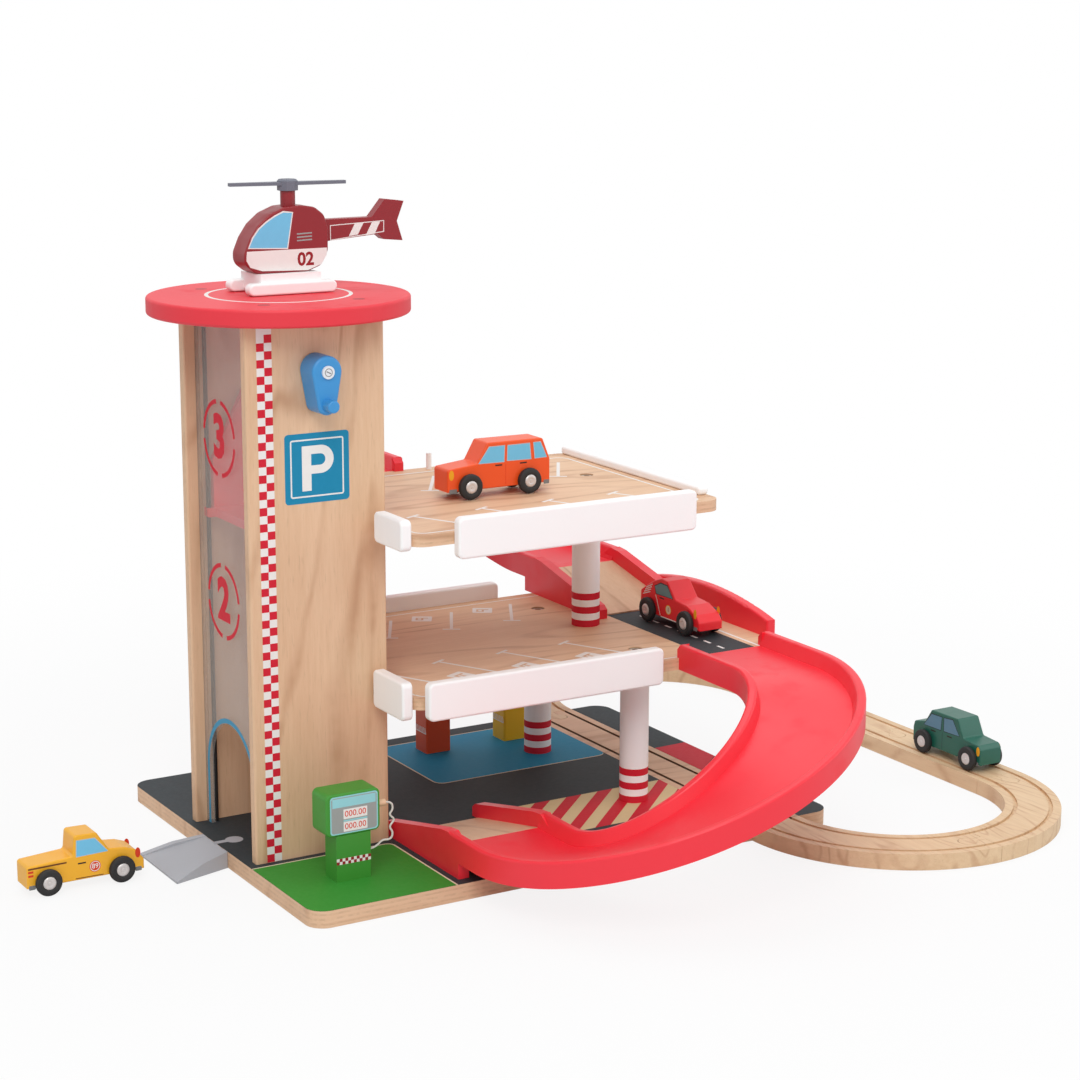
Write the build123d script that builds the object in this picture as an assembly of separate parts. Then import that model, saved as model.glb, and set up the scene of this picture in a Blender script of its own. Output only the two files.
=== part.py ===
from build123d import *
import math
import os

# Toy parking garage with a hand-wound lift. Millimetres, +Z up.
# Origin: centre of the base board's underside. +X runs along the board's
# long side from the tower to the road loop, +Y runs away from the pumps.

# ---- clearances -----------------------------------------------------------
FIT = 0.3            # gap between pieces that move past one another
RUN = 0.06           # radial running fit of a shaft in its bearing
SEAT = 0.15          # radial gap around a plug that is glued in
FAR = 999.0          # cutting boxes reach this far, past every piece

# ---- base board and road band ---------------------------------------------
BOARD_L = 410.0
BOARD_D = 310.0
BOARD_T = 11.5
BOARD_CORNER = 13.0
ROAD_W = 40.0        # width of the road pieces and of the band in the board
ROAD_X = 156.0       # centre of the band
GAUGE = 25.0         # distance between the two grooves, and between wheels
GROOVE_W = 3.0
GROOVE_DEEP = 2.0
LOOP_X = 361.0       # centre of the straight on the far side of the loop
LOOP_JOINT_Y = -22.0     # where the two straights meet
PEG_R = 6.4          # jigsaw peg disc
PEG_NECK = 5.0
PEG_OUT = 14.0       # from the joint to the disc's centre

# ---- access ramp: a wedge against the board's left edge, with two raised lips ----
ACCESS_Y = 1.0
ACCESS_W = 42.0
ACCESS_L = 42.0
ACCESS_SPREAD = 12.0     # the ramp widens towards the floor by this each side
ACCESS_TIP_T = 1.2
ACCESS_LIP_W = 5.0
ACCESS_LIP_H = 2.5

# ---- tower ------------------------------------------------------------------
TOWER_X0 = -199.0
TOWER_X1 = -99.0
WALL_T = 8.0
WALL_FRONT_Y = -54.0     # outer face of the front wall
WALL_BACK_Y = 56.0       # outer face of the back wall
PAD_R = 88.0
PAD_T = 12.0
PAD_TOP = 386.7
WINDOW_X = -190.5
WINDOW_T = 3.0
WINDOW_GROOVE = 2.0      # depth of the wall grooves that hold the window
ARCH_Y = 4.0
ARCH_R = 37.0
ARCH_SPRING_Z = 55.7
PLUG_R = 4.0
PLUG_T = 4.0
PLUG_X = 34.0        # plugs stand this far from the pad's centre in x

# ---- decks --------------------------------------------------------------------
LEVEL = 113.0        # height from one driving surface to the next
DECK_T = 8.0
DECK_CORNER = 12.0
LOW_FRONT_Y = -103.0
LOW_BACK_Y = 117.0
LOW_RIGHT_X = 195.0
LOW_WING_X = -104.0      # left end of the lower deck, in front of the tower
UP_FRONT_Y = -110.0
UP_BACK_Y = 98.0
UP_RIGHT_X = 137.0
UP_WING_X = -107.5
RAIL_T = 8.0
RAIL_CORNER = 4.0
RAIL_ROUND = 1.8     # rounding of the rails' long edges

# How far the rails stand above and below the deck's top, and where they end.
LOW_RAIL_UP = 12.0
LOW_RAIL_DOWN = 14.5
UP_RAIL_UP = 10.5
UP_RAIL_DOWN = 17.5
END_RAIL_UP = 6.0
END_RAIL_CORNER = 2.5
LOW_FRONT_RAIL_X0 = -97.0
LOW_FRONT_RAIL_X1 = 89.0
LOW_BACK_RAIL_X1 = 86.0
LOW_CORNER_RAIL_Y1 = -57.0
UP_FRONT_RAIL_X0 = -78.0
UP_FRONT_RAIL_X1 = 110.0
UP_CORNER_RAIL_Y1 = -68.0
END_RAIL_Y0 = -92.0
END_RAIL_Y1 = 96.0

# The guard beside the lower road is a low wall with an arched top.
GUARD_Y0 = -86.0
GUARD_Y1 = 80.0
GUARD_DOWN = 16.5        # from the driving surface to the guard's foot
GUARD_END_UP = 12.5      # from the driving surface to the top, at both ends
GUARD_TOP_UP = 23.0      # and in the middle

# ---- columns --------------------------------------------------------------------
COLUMN_R = 10.4
COLUMN_X = 95.0
COLUMN_NEAR_Y = -64.0
COLUMN_FAR_Y = 72.5
COLUMN_UP_X = 101.5
COLUMN_UP_Y = 14.0
SCREW_R = 5.0
SCREW_DEEP = 3.0
SCREW_SUNK = 0.8
PEG_POST_R = 2.0
PEG_POST_X = 12.0
PEG_POST_H = 12.0

# ---- curved ramp ------------------------------------------------------------------
RAMP_R = 101.0       # centre line of the U turn
RAMP_W = 79.0
RAMP_RAIL_W = 9.0
RAMP_RAIL_TOP_W = 6.0
RAMP_RAIL_H = 10.0
RAMP_T = 8.0
RAMP_TURN_Y = -166.5     # centre of the lower ramp's U turn
RAMP_TOP_X = 146.0
RAMP_BED_Y = -130.5      # where the plywood bed takes over
RAMP_FOOT_Y = -46.0      # tip of the plywood bed
RAMP_TOE_Y = -38.0       # end of the red side walls
RAMP_LAP = 3.5           # how far the rail tips reach over the deck
BED_RISE = 19.0
SLOPE_SKEW = 1.08        # the fall is a little slower at its start
RAMP_SECTIONS = 17
UPPER_SHIFT_Y = -18.5    # the upper ramp is the lower one turned half round

# ---- lift -------------------------------------------------------------------------
CABIN_X0 = -182.0
CABIN_X1 = -101.0
CABIN_FLOOR_T = 6.0
CABIN_SIDE_T = 5.0
CABIN_H = 80.0           # from the driving surface to the top of the sides
CABIN_BAR = 8.0
ROD_R = 1.5
ROD_X = -185.5
ROD_Y = 43.5
CRANK_X = -150.0
CRANK_Z = 343.8
SPINDLE_R = 3.0
DRUM_R = 8.0
DRUM_L = 22.0
CORD_R = 0.7
HANDLE_R = 10.6
HANDLE_TIP_R = 6.8
HANDLE_ARM = 21.5
HANDLE_T = 19.0
KNOB_R = 4.2
KNOB_L = 9.0
CAP_R = 4.3
CAP_OUT = 1.5

# ---- fuel pumps ---------------------------------------------------------------------
PUMP_X0 = -167.5
PUMP_X1 = -142.5
PUMP_Y0 = 43.0 - BOARD_D / 2     # the pump keeps to the board's front edge
PUMP_Y1 = PUMP_Y0 + 17.0
PUMP_STEM_H = 32.0
HEAD_X0 = -175.0
HEAD_X1 = -135.5
HEAD_Y0 = PUMP_Y0 - 0.5
HEAD_Y1 = PUMP_Y1 + 4.0
HEAD_ROUND = 4.0
HEAD_H = 29.0
NOZZLE_R = 2.4
NOZZLE_OUT = 6.0
NOZZLE_IN = 8.0
NOZZLE_Y = PUMP_Y0 + 4.5
NOZZLE_Z = 59.7
HOSE_R = 0.7
BLOCK_PUMP_H = 44.0
ORANGE_PUMP = (16.0, 37.0, 106.0, 125.0)     # x and y limits of a block pump
YELLOW_PUMP = (84.0, 103.0, 105.0, 124.0)

# Hose of the green pump: limp wavy cord that hangs down the head's side from
# the nozzle and ends in the stem. Bends of its route from the nozzle's tip.
HOSE_BENDS = [
    (4.6, 0.0, -0.6),
    (5.6, 0.0, -6.0),
    (2.2, 0.0, -9.2),
    (7.2, 0.0, -13.2),
    (2.2, 0.0, -17.4),
    (5.6, 0.0, -22.0),
    (3.6, 0.0, -26.9),
    (-2.8, 0.0, -25.6),
    (-7.2, 0.3, -30.2),
    (-13.4, 0.6, -31.0),
]

# ---- helicopter ----------------------------------------------------------------------
HELI_Y = 12.0
HELI_W = 20.0
HELI_EDGE = 8.0      # rounding of the cabin's outline
HELI_BELLY = 13.6    # height of the cabin's underside over the pad
HELI_ROOF = 57.8
BOOM_W = 8.0
SKID_X0 = -174.0
SKID_X1 = -110.0
SKID_GAUGE = 32.0
SKID_W = 9.0
SKID_T = 8.0
ROTOR_X = -136.0
ROTOR_UP = 70.8      # height of the blades over the pad
ROTOR_L = 81.0
ROTOR_W = 9.0
ROTOR_TIP_W = 4.5
ROTOR_T = 2.2
ROTOR_TURN = -7.0    # the blades aren't quite square to the cabin
HUB_SIZE = 7.0
MAST_R = 5.0
PIN_R = 2.0

# Outlines seen from the side: x, and height over the pad.
HELI_SHELL = [(-164.0, 13.6), (-127.0, 13.6), (-116.0, 17.5), (-111.4, 27.0), (-111.2, 42.0),
              (-114.0, 51.0), (-121.0, 56.4), (-131.5, 57.8), (-143.5, 56.8), (-154.0, 52.6),
              (-162.5, 45.6), (-168.5, 37.0), (-172.6, 27.5), (-172.6, 20.0)]
HELI_TAIL = [(-115.0, 32.0), (-71.0, 35.6), (-66.5, 31.8), (-52.0, 30.4), (-56.3, 43.8),
             (-51.0, 57.2), (-65.5, 59.0), (-75.5, 47.2), (-115.0, 47.0)]

# ---- cars -------------------------------------------------------------------------------
WHEEL_R = 9.1
WHEEL_W = 4.0
HUB_R = 4.4
HUB_OUT = 0.6
AXLE_R = 1.3
CAR_BODY_W = 20.4
CAR_EDGE = 2.2       # rounding across the body
CAR_SIDE_EDGE = 1.0  # rounding of the two flanks' borders
CAR_LIFT = 0.3       # least gap of a tyre over what it stands on

# Outlines seen from the side with the nose at x = 0; z = 0 is the ground.
ESTATE = [(0, 6), (0, 22), (23.7, 24.5), (31.7, 38.6), (76.5, 38.2), (82.5, 23), (82.5, 6)]
COUPE = [(0, 6), (0, 12), (4.8, 17), (17, 21.5), (32, 22.8), (43, 34.5), (51, 35.2), (60, 31.8),
         (69, 27), (78, 21.5), (79, 6)]
SALOON = [(0, 6), (0, 18), (2.8, 21), (20, 22.2), (27, 35.6), (58, 35.2), (65, 24.6),
          (77.5, 21.8), (79, 17), (79, 6)]
PICKUP = [(0, 6), (0, 13), (6, 20.5), (13.5, 23.2), (24.8, 24.4), (33, 37), (48.6, 37.4),
          (50, 23.2), (81.8, 21.2), (81.8, 6)]

# ---- derived heights ------------------------------------------------------------------------
LOW_Z = BOARD_T + LEVEL
UP_Z = LOW_Z + LEVEL
PAD_Z = PAD_TOP - PAD_T
TOWER_X = (TOWER_X0 + TOWER_X1) / 2
TOWER_Y = (WALL_FRONT_Y + WALL_BACK_Y) / 2
FRONT_INNER_Y = WALL_FRONT_Y + WALL_T
BACK_INNER_Y = WALL_BACK_Y - WALL_T
LOOP_R = (LOOP_X - ROAD_X) / 2
LOOP_CX = (LOOP_X + ROAD_X) / 2
RAMP_END_X = RAMP_TOP_X - 2 * RAMP_R         # centre line of the lower ramp's foot
UPPER_SHIFT_X = LOW_RIGHT_X - RAMP_W / 2 + RAMP_END_X    # the upper foot meets the guard
ROTOR_Z = PAD_TOP + ROTOR_UP
LOW_SCREWS = [(COLUMN_X, COLUMN_NEAR_Y), (COLUMN_X, COLUMN_FAR_Y)]
UP_SCREWS = [(COLUMN_UP_X, COLUMN_UP_Y)]

# Name, outline, front and rear axle from the nose, place of the nose's
# middle on the ground, and the way that the nose points.
CARS = [
    ("orange_car", ESTATE, 16.8, 64.4, (-34.4, -12.4, UP_Z + CAR_LIFT), 180),
    ("red_car", COUPE, 15.3, 65.0, (158.0, -67.7, LOW_Z + CAR_LIFT), -90),
    ("green_car", SALOON, 12.0, 64.0, (LOOP_X, -146.2, BOARD_T + CAR_LIFT), -90),
    ("yellow_car", PICKUP, 16.6, 67.8, (-260.4, 3.0, 0.0), 0),
]


def block(x0, x1, y0, y1, z0, z1):
    """Box between two corners."""
    solid = Box(x1 - x0, y1 - y0, z1 - z0)
    return Pos((x0 + x1) / 2, (y0 + y1) / 2, (z0 + z1) / 2) * solid


def plate(points, z0, z1):
    """Outline in plan, from z0 to z1."""
    face = make_face(Polyline(*[(x, y, z0) for x, y in points], close=True))
    return extrude(face, amount=z1 - z0, dir=(0, 0, 1))


def side_plate(points, y0, y1):
    """Outline seen from the front (x, z), from y0 to y1."""
    face = make_face(Polyline(*[(x, y0, z) for x, z in points], close=True))
    return extrude(face, amount=y1 - y0, dir=(0, 1, 0))


def end_plate(points, x0, x1):
    """Outline seen from the side (y, z), from x0 to x1."""
    face = make_face(Polyline(*[(x0, y, z) for y, z in points], close=True))
    return extrude(face, amount=x1 - x0, dir=(1, 0, 0))


def disc(x, y, z0, z1, r):
    """Upright cylinder."""
    return Pos(x, y, (z0 + z1) / 2) * Cylinder(r, z1 - z0)


def rod_y(x, z, y0, y1, r):
    """Cylinder along Y."""
    return Pos(x, (y0 + y1) / 2, z) * Rot(90, 0, 0) * Cylinder(r, y1 - y0)


def rod_x(y, z, x0, x1, r):
    """Cylinder along X."""
    return Pos((x0 + x1) / 2, y, z) * Rot(0, 90, 0) * Cylinder(r, x1 - x0)


def upright_edges(solid):
    return solid.edges().filter_by(Axis.Z)


def save(solid, name):
    export_step(solid, "parts/" + name + ".step")
    box = solid.bounding_box()
    print(name, [round(v, 1) for v in (*box.min, *box.max)], round(solid.volume))


# ---- jigsaw joints ----------------------------------------------------------------------------
def peg(x, y, angle, grow, thick):
    """Neck and disc that point along angle from the joint at (x, y)."""
    neck_w = PEG_NECK + 2 * grow
    neck = Pos(PEG_OUT / 2 - 0.5, 0, thick / 2) * Box(PEG_OUT + 1, neck_w, thick)
    head = Pos(PEG_OUT, 0, thick / 2) * Cylinder(PEG_R + grow, thick)
    return Pos(x, y, 0) * Rot(0, 0, angle) * (neck + head)


def socket(x, y, angle):
    """Room for a peg, cut right through."""
    return Pos(0, 0, -1) * peg(x, y, angle, FIT, BOARD_T + 2)


# ---- base and road ------------------------------------------------------------------------------
def base_board():
    board = block(-BOARD_L / 2, BOARD_L / 2, -BOARD_D / 2, BOARD_D / 2, 0, BOARD_T)
    board = fillet(upright_edges(board), BOARD_CORNER)
    for side in (-1, 1):
        x = ROAD_X + side * GAUGE / 2
        board -= block(x - GROOVE_W / 2, x + GROOVE_W / 2, -BOARD_D, BOARD_D,
                       BOARD_T - GROOVE_DEEP, BOARD_T + 1)
    board -= socket(ROAD_X, BOARD_D / 2, -90)
    board -= socket(ROAD_X, -BOARD_D / 2, 90)
    board -= socket(-BOARD_L / 2, ACCESS_Y, 0)
    return board


def ring_quarter(cx, cy, start, r_in, r_out, z0, z1):
    """Quarter of a flat ring, counter-clockwise from the start angle."""
    ring = disc(cx, cy, z0, z1, r_out) - disc(cx, cy, z0 - 1, z1 + 1, r_in)
    corner = Rot(0, 0, start) * block(0, 2 * r_out, 0, 2 * r_out, z0 - 2, z1 + 2)
    return ring & (Pos(cx, cy, 0) * corner)


def track_curve(cy, start):
    """Quarter curve of the loop with its two grooves, centred at (LOOP_CX, cy)."""
    half = ROAD_W / 2
    road = ring_quarter(LOOP_CX, cy, start, LOOP_R - half, LOOP_R + half, 0, BOARD_T)
    for side in (-1, 1):
        r = LOOP_R + side * GAUGE / 2
        groove = ring_quarter(LOOP_CX, cy, start, r - GROOVE_W / 2, r + GROOVE_W / 2,
                              BOARD_T - GROOVE_DEEP, BOARD_T + 1)
        road -= groove
    return road


def trim_y(solid, y0, y1):
    """Keep what lies between two values of y."""
    return solid & block(-FAR, FAR, y0, y1, -FAR, FAR)


def trim_x(solid, x0, x1):
    return solid & block(x0, x1, -FAR, FAR, -FAR, FAR)


def loop_curves():
    """The four quarter curves, with pegs and sockets that follow one another."""
    edge = BOARD_D / 2
    far = edge + LOOP_R
    gap = FIT / 2
    front_left = trim_y(track_curve(-edge, 180), -FAR, -edge - FIT)
    front_left = trim_x(front_left, -FAR, LOOP_CX - gap)
    front_left += peg(ROAD_X, -edge - FIT, 90, 0, BOARD_T)
    front_left -= socket(LOOP_CX, -far, 180)
    front_right = trim_y(track_curve(-edge, 270), -FAR, -edge - gap)
    front_right = trim_x(front_right, LOOP_CX + gap, FAR)
    front_right += peg(LOOP_CX + gap, -far, 180, 0, BOARD_T)
    front_right -= socket(LOOP_X, -edge, -90)
    back_right = trim_y(track_curve(edge, 0), edge + gap, FAR)
    back_right = trim_x(back_right, LOOP_CX + gap, FAR)
    back_right += peg(LOOP_X, edge + gap, -90, 0, BOARD_T)
    back_right += peg(LOOP_CX + gap, far, 180, 0, BOARD_T)
    back_left = trim_y(track_curve(edge, 90), edge + FIT, FAR)
    back_left = trim_x(back_left, -FAR, LOOP_CX - gap)
    back_left += peg(ROAD_X, edge + FIT, -90, 0, BOARD_T)
    back_left -= socket(LOOP_CX, far, 180)
    return front_left, front_right, back_right, back_left


def track_straight(y0, y1):
    road = block(LOOP_X - ROAD_W / 2, LOOP_X + ROAD_W / 2, y0, y1, 0, BOARD_T)
    for side in (-1, 1):
        x = LOOP_X + side * GAUGE / 2
        road -= block(x - GROOVE_W / 2, x + GROOVE_W / 2, y0 - 1, y1 + 1,
                      BOARD_T - GROOVE_DEEP, BOARD_T + 1)
    road += peg(LOOP_X, y0, -90, 0, BOARD_T)
    return road - socket(LOOP_X, y1 + FIT / 2, -90)


def access_ramp():
    x1 = -BOARD_L / 2 - FIT
    x0 = x1 - ACCESS_L
    wedge = side_plate([(x0, 0), (x1, 0), (x1, BOARD_T), (x0, ACCESS_TIP_T)],
                       ACCESS_Y - 60, ACCESS_Y + 60)
    half = ACCESS_W / 2
    wide = half + ACCESS_SPREAD
    sheet = plate([(x1, ACCESS_Y - half), (x1, ACCESS_Y + half), (x0, ACCESS_Y + wide),
                   (x0, ACCESS_Y - wide)], -1, BOARD_T + 9)
    ramp = wedge & sheet
    lip = side_plate([(x0, 0), (x1, 0), (x1, BOARD_T + 0.2),
                      (x1 - ACCESS_L / 2, BOARD_T / 2 + ACCESS_LIP_H),
                      (x0, ACCESS_TIP_T + 0.3)], ACCESS_Y - 60, ACCESS_Y + 60)
    inner = plate([(x1 + 1, ACCESS_Y - half + ACCESS_LIP_W),
                   (x1 + 1, ACCESS_Y + half - ACCESS_LIP_W),
                   (x0 - 1, ACCESS_Y + wide - ACCESS_LIP_W),
                   (x0 - 1, ACCESS_Y - wide + ACCESS_LIP_W)], -1, BOARD_T + 9)
    ramp += (lip & sheet) - inner
    return ramp + peg(x1, ACCESS_Y, 0, 0, BOARD_T)


# ---- tower ---------------------------------------------------------------------------------------
def tower_wall(y_outer, y_inner):
    low, high = min(y_outer, y_inner), max(y_outer, y_inner)
    wall = block(TOWER_X0, TOWER_X1, low, high, BOARD_T, PAD_Z)
    wall = fillet(upright_edges(wall), 1.5)
    depth = WINDOW_GROOVE if y_inner > y_outer else -WINDOW_GROOVE
    grooved = sorted((y_inner - depth - math.copysign(SEAT, depth), y_inner + depth))
    wall -= block(WINDOW_X - SEAT, WINDOW_X + WINDOW_T + SEAT, grooved[0], grooved[1],
                  BOARD_T - 1, PAD_Z + 1)
    return wall


def spindle_hole(y0, y1):
    return rod_y(CRANK_X, CRANK_Z, y0, y1, SPINDLE_R + RUN)


def tower_window():
    y0 = FRONT_INNER_Y - WINDOW_GROOVE
    y1 = BACK_INNER_Y + WINDOW_GROOVE
    sheet = block(WINDOW_X, WINDOW_X + WINDOW_T, y0, y1, BOARD_T, PAD_Z)
    gate = block(-FAR, 0, ARCH_Y - ARCH_R, ARCH_Y + ARCH_R, 0, ARCH_SPRING_Z)
    gate += rod_x(ARCH_Y, ARCH_SPRING_Z, -FAR, 0, ARCH_R)
    return sheet - gate


def plug_places():
    for sx in (-1, 1):
        for y in (WALL_FRONT_Y + WALL_T / 2, WALL_BACK_Y - WALL_T / 2):
            yield TOWER_X + sx * PLUG_X, y


def helipad():
    pad = disc(TOWER_X, TOWER_Y, PAD_Z, PAD_TOP, PAD_R)
    pad = fillet(pad.edges(), 2.0)
    for x, y in plug_places():
        pad -= disc(x, y, PAD_TOP - PLUG_T, PAD_TOP + 1, PLUG_R + SEAT)
    return pad


def helipad_dowels():
    return Compound([disc(x, y, PAD_TOP - PLUG_T, PAD_TOP, PLUG_R) for x, y in plug_places()])


# ---- decks ------------------------------------------------------------------------------------------
def deck_outline(front, back, right, wing):
    """Deck that stands against the tower and reaches round its front corner."""
    left = TOWER_X1
    nose = WALL_FRONT_Y - FIT
    return [(left, nose), (wing, nose), (wing, front), (right, front), (right, back),
            (left, back)]


def deck(front, back, right, wing, z, screws):
    board = plate(deck_outline(front, back, right, wing), z - DECK_T, z)
    soft = [e for e in upright_edges(board) if abs(e.center().Y - WALL_FRONT_Y) > 2]
    soft = [e for e in soft if e.center().X > TOWER_X1 + 1 or e.center().Y < WALL_FRONT_Y]
    board = fillet(soft, DECK_CORNER)
    for x, y in screws:
        board -= disc(x, y, z - SCREW_DEEP, z + 1, SCREW_R + SEAT)
    return board


def screw_plugs():
    plugs = [disc(x, y, LOW_Z - SCREW_DEEP, LOW_Z - SCREW_SUNK, SCREW_R) for x, y in LOW_SCREWS]
    plugs += [disc(x, y, UP_Z - SCREW_DEEP, UP_Z - SCREW_SUNK, SCREW_R) for x, y in UP_SCREWS]
    return Compound(plugs)


def column(x, y, z0, z1):
    return disc(x, y, z0, z1, COLUMN_R)


def rail_along_x(x0, x1, y0, z0, z1):
    """Rail beside a deck's edge; its outer upright corners are rounded."""
    rail = block(x0, x1, y0, y0 + RAIL_T, z0, z1)
    rail = fillet(rail.edges().filter_by(Axis.Y), RAIL_CORNER)
    return fillet(rail.edges().filter_by(Axis.Y, reverse=True), RAIL_ROUND)


def rail_along_y(x0, y0, y1, z0, z1, corner=RAIL_CORNER):
    rail = block(x0, x0 + RAIL_T, y0, y1, z0, z1)
    rail = fillet(rail.edges().filter_by(Axis.X), corner)
    return fillet(rail.edges().filter_by(Axis.X, reverse=True), RAIL_ROUND)


def rails():
    low = (LOW_Z - LOW_RAIL_DOWN, LOW_Z + LOW_RAIL_UP)
    high = (UP_Z - UP_RAIL_DOWN, UP_Z + UP_RAIL_UP)
    corner = (UP_Z - UP_RAIL_DOWN + 7, UP_Z + UP_RAIL_UP)
    return {
        "lower_front_rail": rail_along_x(LOW_FRONT_RAIL_X0, LOW_FRONT_RAIL_X1,
                                         LOW_FRONT_Y - RAIL_T, *low),
        "lower_back_rail": rail_along_x(TOWER_X1, LOW_BACK_RAIL_X1, LOW_BACK_Y, *low),
        "lower_corner_rail": rail_along_y(LOW_WING_X - RAIL_T, LOW_FRONT_Y + 2,
                                          LOW_CORNER_RAIL_Y1, *low),
        "upper_front_rail": rail_along_x(UP_FRONT_RAIL_X0, UP_FRONT_RAIL_X1,
                                         UP_FRONT_Y - RAIL_T, *high),
        "upper_end_rail": rail_along_y(UP_RIGHT_X - RAIL_T, END_RAIL_Y0, END_RAIL_Y1,
                                       UP_Z, UP_Z + END_RAIL_UP, END_RAIL_CORNER),
        "upper_corner_rail": rail_along_y(UP_WING_X - RAIL_T, UP_FRONT_Y + 2,
                                          UP_CORNER_RAIL_Y1, *corner),
    }


def road_guard():
    x0 = LOW_RIGHT_X
    end_z = LOW_Z + GUARD_END_UP
    top = ThreePointArc((x0, GUARD_Y0, end_z),
                        (x0, (GUARD_Y0 + GUARD_Y1) / 2, LOW_Z + GUARD_TOP_UP),
                        (x0, GUARD_Y1, end_z))
    sides = Polyline((x0, GUARD_Y1, end_z), (x0, GUARD_Y1, LOW_Z - GUARD_DOWN),
                     (x0, GUARD_Y0, LOW_Z - GUARD_DOWN), (x0, GUARD_Y0, end_z))
    guard = extrude(make_face(top + sides), amount=RAIL_T, dir=(1, 0, 0))
    return fillet(guard.edges().filter_by(Axis.X, reverse=True), RAIL_ROUND)


def upper_peg():
    return disc(PEG_POST_X, UP_BACK_Y - 6, UP_Z, UP_Z + PEG_POST_H, PEG_POST_R)


# ---- curved ramp ----------------------------------------------------------------------------------------
def trough_face(origin, across, along):
    """U-shaped section; its local x runs across the road, its local y is up."""
    w = RAMP_W / 2
    b = w - RAMP_RAIL_W
    t = w - RAMP_RAIL_TOP_W
    h = RAMP_RAIL_H
    outline = Polyline((-w, -RAMP_T), (w, -RAMP_T), (w, h), (t, h), (b, 0), (-b, 0), (-t, h),
                       (-w, h), close=True)
    face = make_face(outline)
    tops = [v for v in face.vertices() if v.Y > h - 0.1]
    face = fillet(tops, 1.8)
    return Plane(origin=origin, x_dir=across, z_dir=along) * face


def fall(part):
    """Share of the drop that is behind the car at this share of the U turn."""
    t = part ** SLOPE_SKEW
    return 3 * t ** 2 - 2 * t ** 3


def curved_ramp(top_y):
    """Red ramp: flat start at top_y, falling U turn, flat end at RAMP_BED_Y."""
    z_top = LOW_Z
    z_end = BOARD_T + BED_RISE
    cx = RAMP_TOP_X - RAMP_R
    sections = []
    for i in range(RAMP_SECTIONS):
        part = i / (RAMP_SECTIONS - 1)
        a = part * math.pi
        radial = (math.cos(a), -math.sin(a), 0)
        along = (-math.sin(a), -math.cos(a), 0)
        z = z_top + (z_end - z_top) * fall(part)
        origin = (cx + RAMP_R * radial[0], RAMP_TURN_Y + RAMP_R * radial[1], z)
        sections.append(trough_face(origin, radial, along))
    turn = loft(sections)
    start = trough_face((RAMP_TOP_X, top_y, z_top), (1, 0, 0), (0, -1, 0))
    start = extrude(start, amount=top_y - RAMP_TURN_Y, dir=(0, -1, 0))
    end_x = RAMP_END_X
    end = trough_face((end_x, RAMP_TURN_Y, z_end), (-1, 0, 0), (0, 1, 0))
    end = extrude(end, amount=RAMP_BED_Y - RAMP_TURN_Y, dir=(0, 1, 0))
    return turn + start + end + rail_tips(top_y) + ramp_feet(end_x, z_end)


def rail_tips(top_y):
    """Ends of the two rails, which lap onto the deck."""
    tips = []
    for side in (-1, 1):
        x = RAMP_TOP_X + side * (RAMP_W - RAMP_RAIL_W) / 2
        w = RAMP_RAIL_TOP_W / 2 + 0.6
        tip = end_plate([(top_y - 1, LOW_Z), (top_y + RAMP_LAP, LOW_Z),
                         (top_y + RAMP_LAP, LOW_Z + RAMP_RAIL_H - 4),
                         (top_y + RAMP_LAP - 4, LOW_Z + RAMP_RAIL_H),
                         (top_y - 1, LOW_Z + RAMP_RAIL_H)], x - w, x + w)
        tips.append(tip)
    return tips[0] + tips[1]


def ramp_feet(end_x, z_end):
    """Two side walls that carry the plywood bed and stand on the level below."""
    walls = []
    for side in (-1, 1):
        outer = end_x + side * RAMP_W / 2
        inner = end_x + side * (RAMP_W / 2 - RAMP_RAIL_W + 1)
        y0 = RAMP_BED_Y - 16
        wall = end_plate([(y0, BOARD_T), (RAMP_TOE_Y, BOARD_T), (RAMP_TOE_Y, BOARD_T + 7),
                          (RAMP_TOE_Y - 4, BOARD_T + 10),
                          (RAMP_BED_Y + 8, z_end + RAMP_RAIL_H - 1.0),
                          (RAMP_BED_Y - 2, z_end + RAMP_RAIL_H), (y0, z_end + 2)],
                         min(outer, inner), max(outer, inner))
        walls.append(wall)
    return walls[0] + walls[1]


def ramp_bed():
    """Plywood wedge between the side walls at the foot of a ramp."""
    end_x = RAMP_END_X
    half = RAMP_W / 2 - RAMP_RAIL_W + 1
    y0, y1 = RAMP_BED_Y, RAMP_FOOT_Y
    return end_plate([(y0, BOARD_T), (y1, BOARD_T), (y1, BOARD_T + 1), (y0, BOARD_T + BED_RISE)],
                     end_x - half, end_x + half)


def to_upper(solid):
    """Turn a lower ramp piece half round and lift it one level."""
    return Pos(UPPER_SHIFT_X, UPPER_SHIFT_Y, LEVEL) * Rot(0, 0, 180) * solid


# ---- lift ----------------------------------------------------------------------------------------------------
def lift_floor():
    y0 = FRONT_INNER_Y + 1.5
    y1 = BACK_INNER_Y - 1.5
    floor = block(CABIN_X0, CABIN_X1, y0, y1, UP_Z - CABIN_FLOOR_T, UP_Z)
    lug = block(ROD_X - 4, CABIN_X0 + 2, y1 - 8, y1, UP_Z - CABIN_FLOOR_T, UP_Z)
    lug = lug & block(WINDOW_X + WINDOW_T + FIT, 0, -FAR, FAR, 0, FAR)
    return floor + lug - disc(ROD_X, ROD_Y, 0, FAR, ROD_R + FIT)


def lift_sides():
    """Front and back side of the cabin; the edge towards the window slopes."""
    y0 = FRONT_INNER_Y + 1.5
    y1 = BACK_INNER_Y - 1.5
    top = UP_Z + CABIN_H
    outline = [(CABIN_X0, UP_Z), (CABIN_X1 - 10, UP_Z), (CABIN_X1 - 16, top), (CABIN_X0 + 24, top),
               (CABIN_X0, UP_Z + 34)]
    front = side_plate(outline, y0, y0 + CABIN_SIDE_T)
    back = side_plate(outline, y1 - CABIN_SIDE_T, y1)
    return Compound([front, back])


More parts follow.
